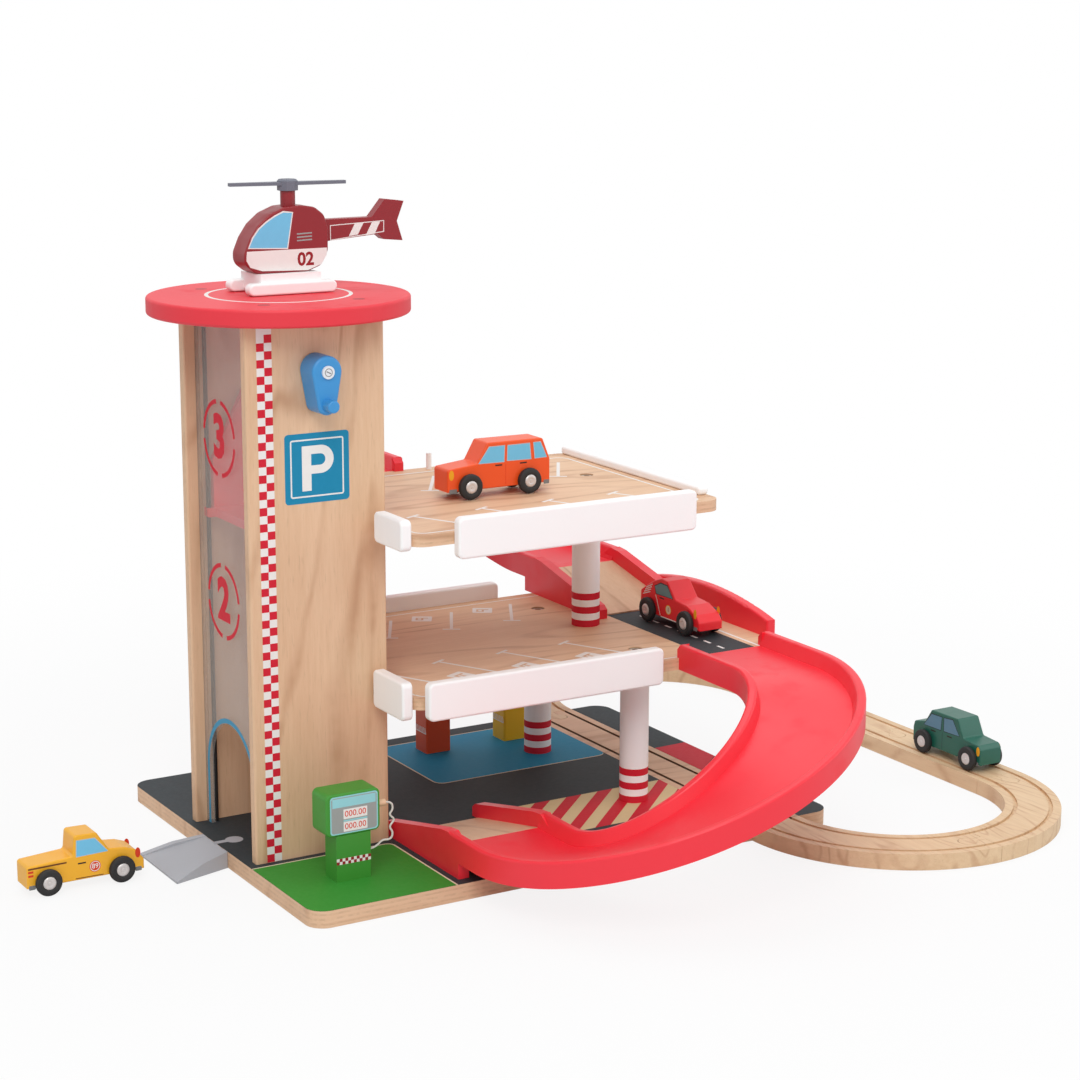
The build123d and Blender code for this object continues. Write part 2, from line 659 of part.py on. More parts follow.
def lift_top_bar():
    y0 = FRONT_INNER_Y + 1.5 + CABIN_SIDE_T
    y1 = BACK_INNER_Y - 1.5 - CABIN_SIDE_T
    x = CRANK_X + DRUM_R + CORD_R
    z1 = UP_Z + CABIN_H
    return block(x - CABIN_BAR, x + CABIN_BAR, y0, y1, z1 - CABIN_BAR, z1)


def lift_cord():
    x = CRANK_X + DRUM_R + CORD_R
    return disc(x, TOWER_Y, UP_Z + CABIN_H + 0.05, CRANK_Z, CORD_R)


def lift_guide_rod():
    return disc(ROD_X, ROD_Y, BOARD_T, PAD_Z, ROD_R)


def crank_handle():
    """Tear-drop arm that hangs straight down from its axis."""
    y1 = WALL_FRONT_Y - 1.0
    y0 = y1 - HANDLE_T
    z_tip = CRANK_Z - HANDLE_ARM
    lean = math.asin((HANDLE_R - HANDLE_TIP_R) / HANDLE_ARM)
    c, s = math.cos(lean), math.sin(lean)
    web = [(CRANK_X + side * r * c, z - r * s) for side, r, z in
           ((-1, HANDLE_R, CRANK_Z), (-1, HANDLE_TIP_R, z_tip), (1, HANDLE_TIP_R, z_tip),
            (1, HANDLE_R, CRANK_Z))]
    arm = rod_y(CRANK_X, CRANK_Z, y0, y1, HANDLE_R) + rod_y(CRANK_X, z_tip, y0, y1, HANDLE_TIP_R)
    arm += side_plate(web, y0, y1)
    front = [e for e in arm.edges() if abs(e.center().Y - y0) < 0.1]
    arm = fillet(front, 2.0)
    return arm - rod_y(CRANK_X, CRANK_Z, y0 - 1, y1 + 1, SPINDLE_R + RUN)


def crank_knob():
    y1 = WALL_FRONT_Y - 1.0 - HANDLE_T
    knob = rod_y(CRANK_X, CRANK_Z - HANDLE_ARM, y1 - KNOB_L, y1, KNOB_R)
    return fillet(knob.edges().sort_by(Axis.Y)[0], 1.2)


def crank_spindle():
    """Spindle with its white cap in front and the winding drum on it."""
    y_cap = WALL_FRONT_Y - 1.0 - HANDLE_T
    spindle = rod_y(CRANK_X, CRANK_Z, y_cap, WALL_BACK_Y - 2, SPINDLE_R)
    cap = rod_y(CRANK_X, CRANK_Z, y_cap - CAP_OUT, y_cap, CAP_R)
    drum = rod_y(CRANK_X, CRANK_Z, TOWER_Y - DRUM_L / 2, TOWER_Y + DRUM_L / 2, DRUM_R)
    return spindle + cap + drum


# ---- fuel pumps --------------------------------------------------------------------------------------------------
def green_pump_stem():
    return block(PUMP_X0, PUMP_X1, PUMP_Y0, PUMP_Y1, BOARD_T, BOARD_T + PUMP_STEM_H)


def green_pump_head():
    z0 = BOARD_T + PUMP_STEM_H
    head = block(HEAD_X0, HEAD_X1, HEAD_Y0, HEAD_Y1, z0, z0 + HEAD_H)
    head = fillet(head.edges().filter_by(Axis.Y), HEAD_ROUND)
    head = fillet(head.edges().filter_by(Axis.Y, reverse=True), 1.2)
    return head - rod_x(NOZZLE_Y, NOZZLE_Z, HEAD_X1 - NOZZLE_IN, HEAD_X1 + 1, NOZZLE_R + FIT)


def green_pump_nozzle():
    return rod_x(NOZZLE_Y, NOZZLE_Z, HEAD_X1 - NOZZLE_IN + FIT, HEAD_X1 + NOZZLE_OUT, NOZZLE_R)


def corner_radius(before, corner, after):
    """Radius whose tangent arcs use up 0.45 of the shorter run."""
    u = Vector(*corner) - Vector(*before)
    v = Vector(*after) - Vector(*corner)
    half = math.radians(u.get_angle(v)) / 2
    return 0.45 * min(u.length, v.length) / math.tan(half)


def hose_route():
    """Points from just outside the nozzle to just outside the stem."""
    x, y, z = HEAD_X1 + NOZZLE_OUT + 0.5, NOZZLE_Y, NOZZLE_Z
    return [(x, y, z)] + [(x + dx, y + dy, z + dz) for dx, dy, dz in HOSE_BENDS]


def pump_hose():
    pts = hose_route()
    radii = [corner_radius(*pts[i - 1:i + 2]) for i in range(1, len(pts) - 1)]
    route = FilletPolyline(*pts, radius=radii)
    ring = Plane(origin=pts[0], z_dir=Vector(*pts[1]) - Vector(*pts[0])) * Circle(HOSE_R)
    hose = sweep(ring, path=route)
    print("hose radii", [round(r, 2) for r in radii], "length", round(route.length, 1),
          "volume", round(hose.volume, 2), round(route.length * math.pi * HOSE_R ** 2, 2))
    return hose


def block_pump(x0, x1, y0, y1):
    pump = block(x0, x1, y0, y1, BOARD_T, BOARD_T + BLOCK_PUMP_H)
    return fillet(upright_edges(pump), 1.5)


# ---- helicopter ------------------------------------------------------------------------------------------------------
def over_pad(outline):
    return [(x, PAD_TOP + up) for x, up in outline]


def heli_body():
    """Cabin with its mast, tail boom and fin."""
    cabin = side_plate(over_pad(HELI_SHELL), HELI_Y - HELI_W / 2, HELI_Y + HELI_W / 2)
    cabin = fillet(cabin.edges().filter_by(Axis.Y), HELI_EDGE)
    cabin = fillet(cabin.edges().filter_by(Axis.Y, reverse=True), 1.0)
    tail = side_plate(over_pad(HELI_TAIL), HELI_Y - BOOM_W / 2, HELI_Y + BOOM_W / 2)
    roof = PAD_TOP + HELI_ROOF
    mast = disc(ROTOR_X, HELI_Y, roof - 6, ROTOR_Z - 3.5 - FIT, MAST_R)
    bore = disc(ROTOR_X, HELI_Y, roof - 10, ROTOR_Z, PIN_R + RUN)
    return cabin + tail + mast - bore


def heli_skids():
    """Two round-edged runners under a bridge that carries the cabin."""
    z0 = PAD_TOP + FIT
    parts = []
    for side in (-1, 1):
        y = HELI_Y + side * SKID_GAUGE / 2
        runner = block(SKID_X0, SKID_X1, y - SKID_W / 2, y + SKID_W / 2, z0, z0 + SKID_T)
        runner = fillet(runner.edges().filter_by(Axis.Y), SKID_T / 2 - 0.2)
        parts.append(fillet(runner.edges().filter_by(Axis.Y, reverse=True), 1.5))
    bridge = block(SKID_X0 + 10, SKID_X1 - 10, HELI_Y - SKID_GAUGE / 2, HELI_Y + SKID_GAUGE / 2,
                   z0 + 2, PAD_TOP + HELI_BELLY)
    return parts[0] + parts[1] + bridge


def heli_rotor():
    """Two tapered blades on an eight-sided hub; its pin turns in the mast."""
    z0 = ROTOR_Z
    half = ROTOR_L / 2
    corners = [(-half, -ROTOR_TIP_W / 2), (0, -ROTOR_W / 2), (half, -ROTOR_TIP_W / 2),
               (half, ROTOR_TIP_W / 2), (0, ROTOR_W / 2), (-half, ROTOR_TIP_W / 2)]
    blades = plate(corners, z0, z0 + ROTOR_T)
    sides = [(HUB_SIZE * math.cos(math.radians(22.5 + 45 * k)),
              HUB_SIZE * math.sin(math.radians(22.5 + 45 * k))) for k in range(8)]
    hub = plate(sides, z0 - 3.5, z0 + 4)
    hub = chamfer(hub.edges().group_by(Axis.Z)[-1], 1.2)
    pin = disc(0, 0, PAD_TOP + HELI_ROOF - 9, z0 - 2, PIN_R)
    return Pos(ROTOR_X, HELI_Y, 0) * Rot(0, 0, ROTOR_TURN) * (blades + hub + pin)


# ---- cars --------------------------------------------------------------------------------------------------------------
def car_body(outline, front, rear):
    """Block of the outline's shape with a bore for each axle."""
    body = side_plate(outline, -CAR_BODY_W / 2, CAR_BODY_W / 2)
    ends = [e for e in body.edges().filter_by(Axis.Y) if e.center().Z > 7]
    body = fillet(ends, CAR_EDGE)
    body = fillet(body.edges().filter_by(Axis.Y, reverse=True), CAR_SIDE_EDGE)
    for x in (front, rear):
        body -= rod_y(x, WHEEL_R, -FAR, FAR, AXLE_R + RUN)
    return body


def car_wheels(x):
    """Axle with two tyres and two hubs."""
    axle = rod_y(x, WHEEL_R, -GAUGE / 2, GAUGE / 2, AXLE_R)
    tyres = []
    for side in (-1, 1):
        mid = side * GAUGE / 2
        tyre = rod_y(x, WHEEL_R, mid - WHEEL_W / 2, mid + WHEEL_W / 2, WHEEL_R)
        tyre = fillet(tyre.edges(), 0.8)
        face = mid + side * WHEEL_W / 2
        hub = rod_y(x, WHEEL_R, min(face, face + side * HUB_OUT), max(face, face + side * HUB_OUT),
                    HUB_R)
        tyres.append(tyre + hub)
    return axle + tyres[0] + tyres[1]


def place_car(solid, spot, heading):
    """Outline x runs from nose to tail, so the nose points along heading."""
    return Pos(*spot) * Rot(0, 0, heading + 180) * solid


# ---- build -----------------------------------------------------------------------------------------------------------------
os.makedirs("parts", exist_ok=True)

save(base_board(), "base_board")
CURVES = loop_curves()
save(CURVES[0], "track_curve_front_left")
save(CURVES[1], "track_curve_front_right")
save(CURVES[2], "track_curve_back_right")
save(CURVES[3], "track_curve_back_left")
save(track_straight(-BOARD_D / 2 + FIT / 2, LOOP_JOINT_Y - FIT / 2), "track_straight_front")
save(track_straight(LOOP_JOINT_Y + FIT / 2, BOARD_D / 2 - FIT / 2), "track_straight_back")
save(access_ramp(), "access_ramp")

save(tower_wall(WALL_FRONT_Y, FRONT_INNER_Y) - spindle_hole(-FAR, 0), "tower_front_wall")
save(tower_wall(WALL_BACK_Y, BACK_INNER_Y) - spindle_hole(0, FAR), "tower_back_wall")
save(tower_window(), "tower_window")
save(helipad(), "helipad")
save(helipad_dowels(), "helipad_dowels")

save(deck(LOW_FRONT_Y, LOW_BACK_Y, LOW_RIGHT_X, LOW_WING_X, LOW_Z, LOW_SCREWS), "deck_lower")
save(deck(UP_FRONT_Y, UP_BACK_Y, UP_RIGHT_X, UP_WING_X, UP_Z, UP_SCREWS), "deck_upper")
save(screw_plugs(), "screw_plugs")
for rail_name, rail in rails().items():
    save(rail, rail_name)
save(road_guard(), "road_guard")
save(upper_peg(), "upper_peg")
low_columns = [column(x, y, BOARD_T, LOW_Z - DECK_T) for x, y in LOW_SCREWS]
save(Compound(low_columns), "lower_columns")
save(column(COLUMN_UP_X, COLUMN_UP_Y, LOW_Z, UP_Z - DECK_T), "upper_column")

save(curved_ramp(LOW_FRONT_Y), "curved_ramp_lower")
save(to_upper(curved_ramp(UPPER_SHIFT_Y - UP_BACK_Y)), "curved_ramp_upper")
save(ramp_bed(), "ramp_bed_lower")
save(to_upper(ramp_bed()), "ramp_bed_upper")

save(lift_floor(), "lift_floor")
save(lift_sides(), "lift_sides")
save(lift_top_bar(), "lift_top_bar")
save(lift_cord(), "lift_cord")
save(lift_guide_rod(), "lift_guide_rod")
save(crank_handle(), "crank_handle")
save(crank_knob(), "crank_knob")
save(crank_spindle(), "crank_spindle")

save(green_pump_stem(), "green_pump_stem")
save(green_pump_head(), "green_pump_head")
save(green_pump_nozzle(), "green_pump_nozzle")
save(pump_hose(), "pump_hose")
save(block_pump(*ORANGE_PUMP), "orange_pump")
save(block_pump(*YELLOW_PUMP), "yellow_pump")

save(heli_body(), "heli_body")
save(heli_skids(), "heli_skids")
save(heli_rotor(), "heli_rotor")

for name, outline, front, rear, spot, heading in CARS:
    save(place_car(car_body(outline, front, rear), spot, heading), name + "_body")
    save(place_car(car_wheels(front), spot, heading), name + "_front_wheels")
    save(place_car(car_wheels(rear), spot, heading), name + "_rear_wheels")
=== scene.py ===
# %% [markdown]
# # A wooden toy garage with a hand-wound lift
# The real toy is plywood and beech, painted or printed, with four small cars
# and a helicopter. The solid pieces come from the CAD frame and keep their
# shape. This lesson gives them their finishes and adds what a printing plate,
# a lathe or a sewing needle would add: inks, wheels, screws and cords.

# %% Load the frame
import math

import bmesh
import bpy
from mathutils import Matrix, Vector


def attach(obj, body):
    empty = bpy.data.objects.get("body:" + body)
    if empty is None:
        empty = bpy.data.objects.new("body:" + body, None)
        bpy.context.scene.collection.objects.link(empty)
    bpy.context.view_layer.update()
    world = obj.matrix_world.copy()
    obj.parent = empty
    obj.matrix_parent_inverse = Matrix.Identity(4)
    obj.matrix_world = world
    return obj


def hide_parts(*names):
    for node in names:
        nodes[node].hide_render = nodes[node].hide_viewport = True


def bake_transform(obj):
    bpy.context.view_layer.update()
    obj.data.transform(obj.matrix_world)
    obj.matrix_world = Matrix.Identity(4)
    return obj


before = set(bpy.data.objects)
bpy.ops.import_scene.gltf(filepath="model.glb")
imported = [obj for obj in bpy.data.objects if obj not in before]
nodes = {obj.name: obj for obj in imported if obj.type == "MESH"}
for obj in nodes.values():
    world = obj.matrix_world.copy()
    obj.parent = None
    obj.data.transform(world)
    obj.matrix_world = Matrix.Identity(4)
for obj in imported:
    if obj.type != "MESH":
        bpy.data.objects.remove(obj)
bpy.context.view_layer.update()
MM = 0.001


def show(name, data):
    """Puts data into the scene as an object of that name."""
    thing = bpy.data.objects.new(name, data)
    bpy.context.scene.collection.objects.link(thing)
    return thing


# %% [markdown]
# ## Camera
# A long lens far away keeps the tower's edges almost upright. Its place was
# found by matching corners of the base board and the tower. The rotation is
# made from three directions, which is easier to read than Euler angles.

# %% Camera
CAMERA_SPOT = Vector((-0.83796, -1.49772, 0.58304))
YAW, PITCH, ROLL = 0.5369, 0.2183, 0.0028
ahead = Vector((math.sin(YAW) * math.cos(PITCH), math.cos(YAW) * math.cos(PITCH),
                -math.sin(PITCH)))
level_right = Vector((math.cos(YAW), -math.sin(YAW), 0))
level_up = level_right.cross(ahead)
cam_right = math.cos(ROLL) * level_right + math.sin(ROLL) * level_up
cam_up = math.cos(ROLL) * level_up - math.sin(ROLL) * level_right

lens = bpy.data.cameras.new("camera")
lens.lens = 82.25
lens.sensor_width = 36.0
lens.clip_end = 20
camera = show("camera", lens)
camera.matrix_world = (Matrix.Translation(CAMERA_SPOT)
                       @ Matrix((cam_right, cam_up, -ahead)).transposed().to_4x4())
bpy.context.scene.camera = camera
print("the camera looks along", [round(v, 3) for v in ahead])

# %% [markdown]
# ## Writing shaders as sums
# Wiring nodes by hand is slow to read. Here a socket is wrapped in a small
# class, so that `1 - mask * 0.5` adds the Math nodes for us. Every other node
# comes from the one method `add`, which takes its type, its settings and the
# values or links of its sockets. `Finish` builds on it for a piece's material.

# %% The shader helpers
def math_node(operation, flipped=False):
    """A method that puts two values through one Math node."""
    def method(self, other):
        first, second = (other, self) if flipped else (self, other)
        return self.wires.add("ShaderNodeMath", {"operation": operation}, {0: first, 1: second})
    return method


class Sock:
    """An output socket that can be used in sums, on either side of the sign."""

    def __init__(self, wires, socket):
        self.wires = wires
        self.socket = socket

    __add__ = math_node("ADD")
    __radd__ = math_node("ADD", flipped=True)
    __sub__ = math_node("SUBTRACT")
    __rsub__ = math_node("SUBTRACT", flipped=True)
    __mul__ = math_node("MULTIPLY")
    __rmul__ = math_node("MULTIPLY", flipped=True)
    __truediv__ = math_node("DIVIDE")
    __gt__ = math_node("GREATER_THAN")
    __lt__ = math_node("LESS_THAN")
    larger = math_node("MAXIMUM")
    fold = math_node("PINGPONG")


class Wires:
    """A shader tree to which nodes are added one call at a time."""

    def __init__(self, tree):
        self.tree = tree

    def add(self, kind, settings=None, values=None, out=0):
        """Adds a node, sets it up and gives back one of its outputs."""
        node = self.tree.nodes.new(kind)
        for key, value in (settings or {}).items():
            setattr(node, key, value)
        for key, value in (values or {}).items():
            if isinstance(value, Sock):
                self.tree.links.new(value.socket, node.inputs[key])
            else:
                node.inputs[key].default_value = value
        return Sock(self, node.outputs[out]) if node.outputs else None


class Finish(Wires):
    """One material, built around a Principled shader."""

    def __init__(self, name, **plain):
        self.material = bpy.data.materials.new(name)
        self.material.use_nodes = True
        super().__init__(self.material.node_tree)
        self.shader = self.tree.nodes["Principled BSDF"]
        for socket, value in plain.items():
            self.shader.inputs[socket.replace("_", " ")].default_value = value
        self.place = self.add("ShaderNodeTexCoord", out="Object")

    def feed(self, socket, value):
        self.tree.links.new(value.socket, self.shader.inputs[socket])

    def stretch(self, scale):
        """Object coordinates scaled along each axis."""
        return self.add("ShaderNodeMapping", {}, {"Vector": self.place, "Scale": scale})

    def noise(self, scale, detail=3.0, where=None, rough=0.5, warp=0.0):
        return self.add("ShaderNodeTexNoise", {}, {
            "Vector": where or self.place, "Scale": scale, "Detail": detail,
            "Roughness": rough, "Distortion": warp})

    def step(self, value, low, high):
        """0 below low, 1 above high, smooth between."""
        return self.add("ShaderNodeMapRange", {"interpolation_type": "SMOOTHSTEP"},
                        {"Value": value, "From Min": low, "From Max": high})

    def mix(self, factor, first, second):
        return self.add("ShaderNodeMix", {"data_type": "RGBA"},
                        {0: factor, 6: first, 7: second}, out=2)

    def axis(self, letter):
        return self.add("ShaderNodeSeparateXYZ", {}, {"Vector": self.place}, out=letter)

    def bump(self, height, distance, strength=1.0):
        self.feed("Normal", self.add("ShaderNodeBump", {}, {
            "Height": height, "Distance": distance, "Strength": strength}, out="Normal"))


def screen(r, g, b):
    """A colour as seen on a screen, 0 to 255, as the linear values a shader takes."""
    linear = []
    for value in (r, g, b):
        v = value / 255
        linear.append(v / 12.92 if v <= 0.04045 else ((v + 0.055) / 1.055) ** 2.4)
    return (*linear, 1.0)


def shade(colour, factor):
    return (*[min(1.0, v * factor) for v in colour[:3]], 1.0)


print("mid grey on a screen is", round(screen(128, 128, 128)[0], 3), "in a shader")

# %% [markdown]
# ## Wood
# The tower, the decks and the board are maple-faced plywood: a pale face with a
# long soft figure and short dark pores, and thin darker layers on each cut
# edge. The figure is noise that is squeezed across the grain. Its nested ovals
# are the contour lines of another noise, like those on a map: the height is
# folded back and forth, and a thin line is drawn wherever it turns. The layers
# are a sine of the distance through the sheet: it is zero on both faces, so
# only the cut edges show them.

# %% Wood finishes
GRAIN = {"X": (0.07, 1.0, 1.0), "Y": (1.0, 0.07, 1.0), "Z": (1.0, 1.0, 0.07)}
OVAL = {"X": (0.20, 1.0, 0.5), "Y": (1.0, 0.20, 0.5), "Z": (1.0, 0.5, 0.20)}


def wood(name, light, dark, grain="X", layers=None, figure=26.0, contrast=1.0, groove=None):
    """layers is the axis, the lowest and highest millimetre and the count, for plywood.

    groove is the x range, in millimetres, where shade is painted into the board's grooves.
    """
    finish = Finish(name, Roughness=0.5)
    along = finish.stretch(GRAIN[grain])
    ovals = finish.stretch(OVAL[grain])
    broad = finish.noise(figure, 5.0, along, 0.55, 1.4)
    heights = finish.noise(figure * 0.42, 2.5, ovals, 0.42, 0.35)
    rings = (heights * 22).fold(1.0)
    contour = 1 - finish.step(rings, 0.0, 0.42)
    faded = finish.step(finish.noise(figure * 0.9, 3.0), 0.35, 0.65)
    fine = finish.noise(420.0, 4.0, along, 0.7)
    pores = finish.step(finish.noise(1100.0, 2.0, along, 0.6), 0.60, 0.72)
    tone = finish.step(broad * 0.55 + fine * 0.45, 0.28, 0.78) * contrast * 0.8
    colour = finish.mix(tone, light, dark)
    colour = finish.mix(contour * (0.16 + faded * 0.44) * contrast, colour, STAIN)
    colour = finish.mix(pores * 0.22, colour, shade(dark, 0.62))
    if layers:
        letter, low, high, count = layers
        depth = (finish.axis(letter) - low * MM) / ((high - low) * MM)
        wave = finish.add("ShaderNodeMath", {"operation": "SINE"},
                          {0: depth * (math.pi * count)})
        cut = finish.step(wave * -1, 0.15, 0.4)
        ragged = finish.noise(240.0, 3.0)
        colour = finish.mix(cut * finish.step(ragged, 0.3, 0.65) * 0.30, colour,
                            shade(dark, 0.62))
    if groove:
        # Painted shade: wood sunk below the board's face in the groove range is darkened as if in
        # shadow.
        height, across = finish.axis("Z"), finish.axis("X")
        sunk = (height < (BOARD_TOP - 0.25) * MM) * (height > (BOARD_TOP - 2.2) * MM)
        inside = (across > groove[0] * MM) * (across < groove[1] * MM)
        colour = finish.mix(sunk * inside * (0.75 + fine * 0.2), colour, screen(84, 62, 46))
    finish.feed("Base Color", colour)
    finish.feed("Roughness", 0.42 + fine * 0.2)
    finish.bump(broad * 0.3 + fine * 0.5 - pores * 0.5, 0.00008, 0.35)
    return finish.material


BOARD_TOP = 11.5
STAIN = screen(178, 128, 92)
MAPLE = screen(229, 192, 158)
MAPLE_DARK = screen(212, 170, 133)
BEECH = screen(228, 198, 160)
BEECH_DARK = screen(204, 168, 128)

tower_front_wood = wood("tower_front_wood", MAPLE, MAPLE_DARK, "Z", ("Y", -54, -46, 5))
tower_back_wood = wood("tower_back_wood", MAPLE, MAPLE_DARK, "Z", ("Y", 48, 56, 5))
deck_low_wood = wood("deck_low_wood", MAPLE, MAPLE_DARK, "X", ("Z", 116.5, 124.5, 5))
deck_up_wood = wood("deck_up_wood", MAPLE, MAPLE_DARK, "X", ("Z", 229.5, 237.5, 5))
board_wood = wood("board_wood", MAPLE, MAPLE_DARK, "X", ("Z", 0, BOARD_TOP, 7),
                  groove=(141.0, 171.0))
bed_wood = wood("bed_wood", MAPLE, MAPLE_DARK, "Y")
track_wood = wood("track_wood", BEECH, BEECH_DARK, "Y", figure=60.0, contrast=0.8)
print("wood finishes:", len(bpy.data.materials))

# %% [markdown]
# ## Paint
# The toy's paint is a satin spray over sealed wood. Three things keep it from
# looking like plastic film: the tone drifts a little, the surface has a very
# shallow orange peel, and a few rubbed spots are duller than the rest.

# %% Paint finishes
def paint(name, rgb, rough=0.36, drift=0.10):
    colour = screen(*rgb)
    finish = Finish(name, Coat_Weight=0.06, Coat_Roughness=0.3)
    broad = finish.noise(14.0, 3.0)
    fibre = finish.noise(210.0, 3.0, finish.stretch((1.0, 1.0, 0.25)), 0.6)
    tone = finish.mix(broad * drift * 2, colour, shade(colour, 0.80))
    tone = finish.mix(finish.step(fibre, 0.58, 0.75) * 0.10, tone, shade(colour, 1.25))
    finish.feed("Base Color", tone)
    rubbed = finish.step(finish.noise(38.0, 4.0), 0.52, 0.70)
    finish.feed("Roughness", rough + rubbed * 0.12 + fibre * 0.06)
    finish.bump(finish.noise(650.0, 2.0) + fibre * 0.6, 0.00004, 0.5)
    return finish.material


red_paint = paint("red_paint", (243, 42, 58))
helipad_red = paint("helipad_red", (228, 46, 60), 0.5)
dowel_red = paint("dowel_red", (176, 20, 34), 0.5)
car_red = paint("car_red", (236, 34, 46))
white_paint = paint("white_paint", (250, 248, 247), 0.45, 0.015)
blue_paint = paint("blue_paint", (58, 146, 208))
green_paint = paint("green_paint", (58, 144, 44), 0.45)
pine_paint = paint("pine_paint", (22, 92, 76))
orange_paint = paint("orange_paint", (240, 84, 24))
pump_orange = paint("pump_orange", (214, 74, 22))
yellow_paint = paint("yellow_paint", (244, 178, 36))
pump_yellow = paint("pump_yellow", (240, 190, 20))
maroon_paint = paint("maroon_paint", (142, 22, 32))
grey_paint = paint("grey_paint", (176, 178, 184), 0.5)
print("finishes so far:", len(bpy.data.materials))

# %% [markdown]
# ## Plastic, rubber, metal and clear sheet
# The lift window is a thin clear sheet. Real glass shaders need many samples
# and export badly, so the sheet is a pale surface with a low alpha that keeps
# its gloss: we see the wood behind it, greyed as in a real film.

# %% Plastic, rubber, metal and clear sheet
def plain(name, rgb, rough, metal=0.0):
    colour = screen(*rgb)
    finish = Finish(name, Metallic=metal)
    grain = finish.noise(700.0, 3.0)
    finish.feed("Base Color", finish.mix(grain * 0.35, colour, shade(colour, 0.78)))
    finish.feed("Roughness", rough + finish.noise(90.0, 3.0) * 0.12)
    finish.bump(grain, 0.00003, 0.5)
    return finish.material


tyre_rubber = plain("tyre_rubber", (34, 33, 34), 0.62)
hub_silver = plain("hub_silver", (214, 208, 206), 0.30, 0.35)
rotor_grey = plain("rotor_grey", (110, 112, 124), 0.45)
cap_white = plain("cap_white", (228, 232, 236), 0.3)
screw_steel = plain("screw_steel", (186, 176, 160), 0.28, 0.9)
rod_black = plain("rod_black", (38, 36, 36), 0.4, 0.5)


def clear_sheet():
    finish = Finish("clear_sheet", Roughness=0.14, Specular_IOR_Level=0.6)
    haze = finish.noise(9.0, 3.0)
    finish.feed("Base Color", finish.mix(haze, screen(206, 198, 192), screen(228, 222, 216)))
    finish.feed("Alpha", 0.20 + haze * 0.08)
    finish.bump(finish.noise(12.0, 1.0), 0.0003, 0.2)
    return finish.material


def braid():
    """A thin white cord with fine slanting threads."""
    colour = screen(236, 230, 222)
    finish = Finish("cord_white", Roughness=0.85)
    threads = finish.add("ShaderNodeTexWave", {"bands_direction": "DIAGONAL"}, {
        "Vector": finish.place, "Scale": 900.0, "Distortion": 0.6}, out="Fac")
    finish.feed("Base Color", finish.mix(threads * 0.5, colour, shade(colour, 0.6)))
    finish.bump(threads, 0.00012, 0.8)
    return finish.material


window_sheet = clear_sheet()
cord_white = braid()
print("finishes so far:", len(bpy.data.materials))

# %% [markdown]
# ## Which finish goes on which piece
# A CAD piece keeps its mesh. Only its material slot changes.

# %% Dress the CAD pieces
def dress(material, *names):
    for name in names:
        slots = nodes[name].data.materials
        slots.clear()
        slots.append(material)


dress(board_wood, "base_board")
dress(track_wood, "track_curve_back_left", "track_curve_back_right", "track_curve_front_left",
      "track_curve_front_right", "track_straight_back", "track_straight_front")
dress(tower_front_wood, "tower_front_wall")
dress(tower_back_wood, "tower_back_wall")
dress(window_sheet, "tower_window")
dress(helipad_red, "helipad")
dress(dowel_red, "helipad_dowels")
dress(deck_low_wood, "deck_lower")
dress(deck_up_wood, "deck_upper")
dress(bed_wood, "ramp_bed_lower", "ramp_bed_upper", "green_pump_nozzle")
dress(white_paint, "lower_front_rail", "lower_back_rail", "lower_corner_rail",
      "upper_front_rail", "upper_end_rail", "upper_corner_rail", "upper_peg",
      "lower_columns", "upper_column", "heli_skids")
dress(red_paint, "road_guard", "curved_ramp_lower", "curved_ramp_upper", "lift_floor",
      "lift_sides", "lift_top_bar")
dress(screw_steel, "screw_plugs")
dress(rod_black, "lift_guide_rod")
dress(blue_paint, "crank_handle", "crank_knob")
dress(cap_white, "crank_spindle")
dress(green_paint, "green_pump_stem", "green_pump_head")
dress(pump_orange, "orange_pump")
dress(pump_yellow, "yellow_pump")
dress(maroon_paint, "heli_body")
dress(rotor_grey, "heli_rotor")
dress(grey_paint, "access_ramp")
dress(orange_paint, "orange_car_body")
dress(car_red, "red_car_body")
dress(pine_paint, "green_car_body")
dress(yellow_paint, "yellow_car_body")
worn_by = {node.data.materials[0].name for node in nodes.values() if node.data.materials}
print("finishes on the CAD pieces:", len(worn_by))

# %% [markdown]
# ## Ink
# The toy's markings are screen prints. A print is a thin slab of ink, a few
# hundredths of a millimetre proud of the wood, so its border stays crisp in
# any view. `Print` gathers flat shapes on one plane and makes one mesh of them.

# %% Ink colours
def ink(name, rgb, rough=0.55):
    colour = screen(*rgb)
    finish = Finish(name, Specular_IOR_Level=0.35)
    worn = finish.noise(320.0, 4.0)
    broad = finish.noise(22.0, 2.0)
    finish.feed("Base Color", finish.mix(worn * 0.22 + broad * 0.12, colour,
                                         shade(colour, 0.72)))
    finish.feed("Roughness", rough + worn * 0.15)
    finish.bump(worn, 0.00002, 0.4)
    return finish.material


INK_RGB = {
    "white": (240, 236, 232), "cream": (232, 218, 190), "charcoal": (47, 54, 58),
    "red": (212, 24, 48), "brick": (150, 24, 34), "blue": (12, 134, 174),
    "lake": (4, 142, 186), "trim": (66, 148, 184), "straw": (229, 208, 160),
    "steel": (96, 134, 156), "teal": (110, 150, 156), "sky": (118, 196, 232),
    "ice": (152, 214, 220), "grass": (52, 142, 46), "grey": (158, 162, 160),
    "silver": (196, 200, 206), "dark": (46, 30, 28), "brown": (110, 62, 26),
    # The brown screw-head ink is painted shade for the sunk holes over the columns.
    "rim": (122, 92, 68), "bumper": (128, 128, 128), "amber": (240, 170, 30),
    "lamp_red": (222, 62, 30),
}
INK_ROUGH = {"charcoal": 0.6, "silver": 0.35}      # the others are 0.55
INKS = {name: ink(f"ink_{name}", rgb, INK_ROUGH.get(name, 0.55))
        for name, rgb in INK_RGB.items()}
INKS["bare"] = board_wood
INKS["connector"] = grey_paint
INK_LIFT = 0.05      # first layer of ink over the wood, in millimetres
INK_LAYER = 0.03     # each further layer
FONT_RATIO = 1.38    # the font's size over the height of its figures
print("inks:", len(INKS))

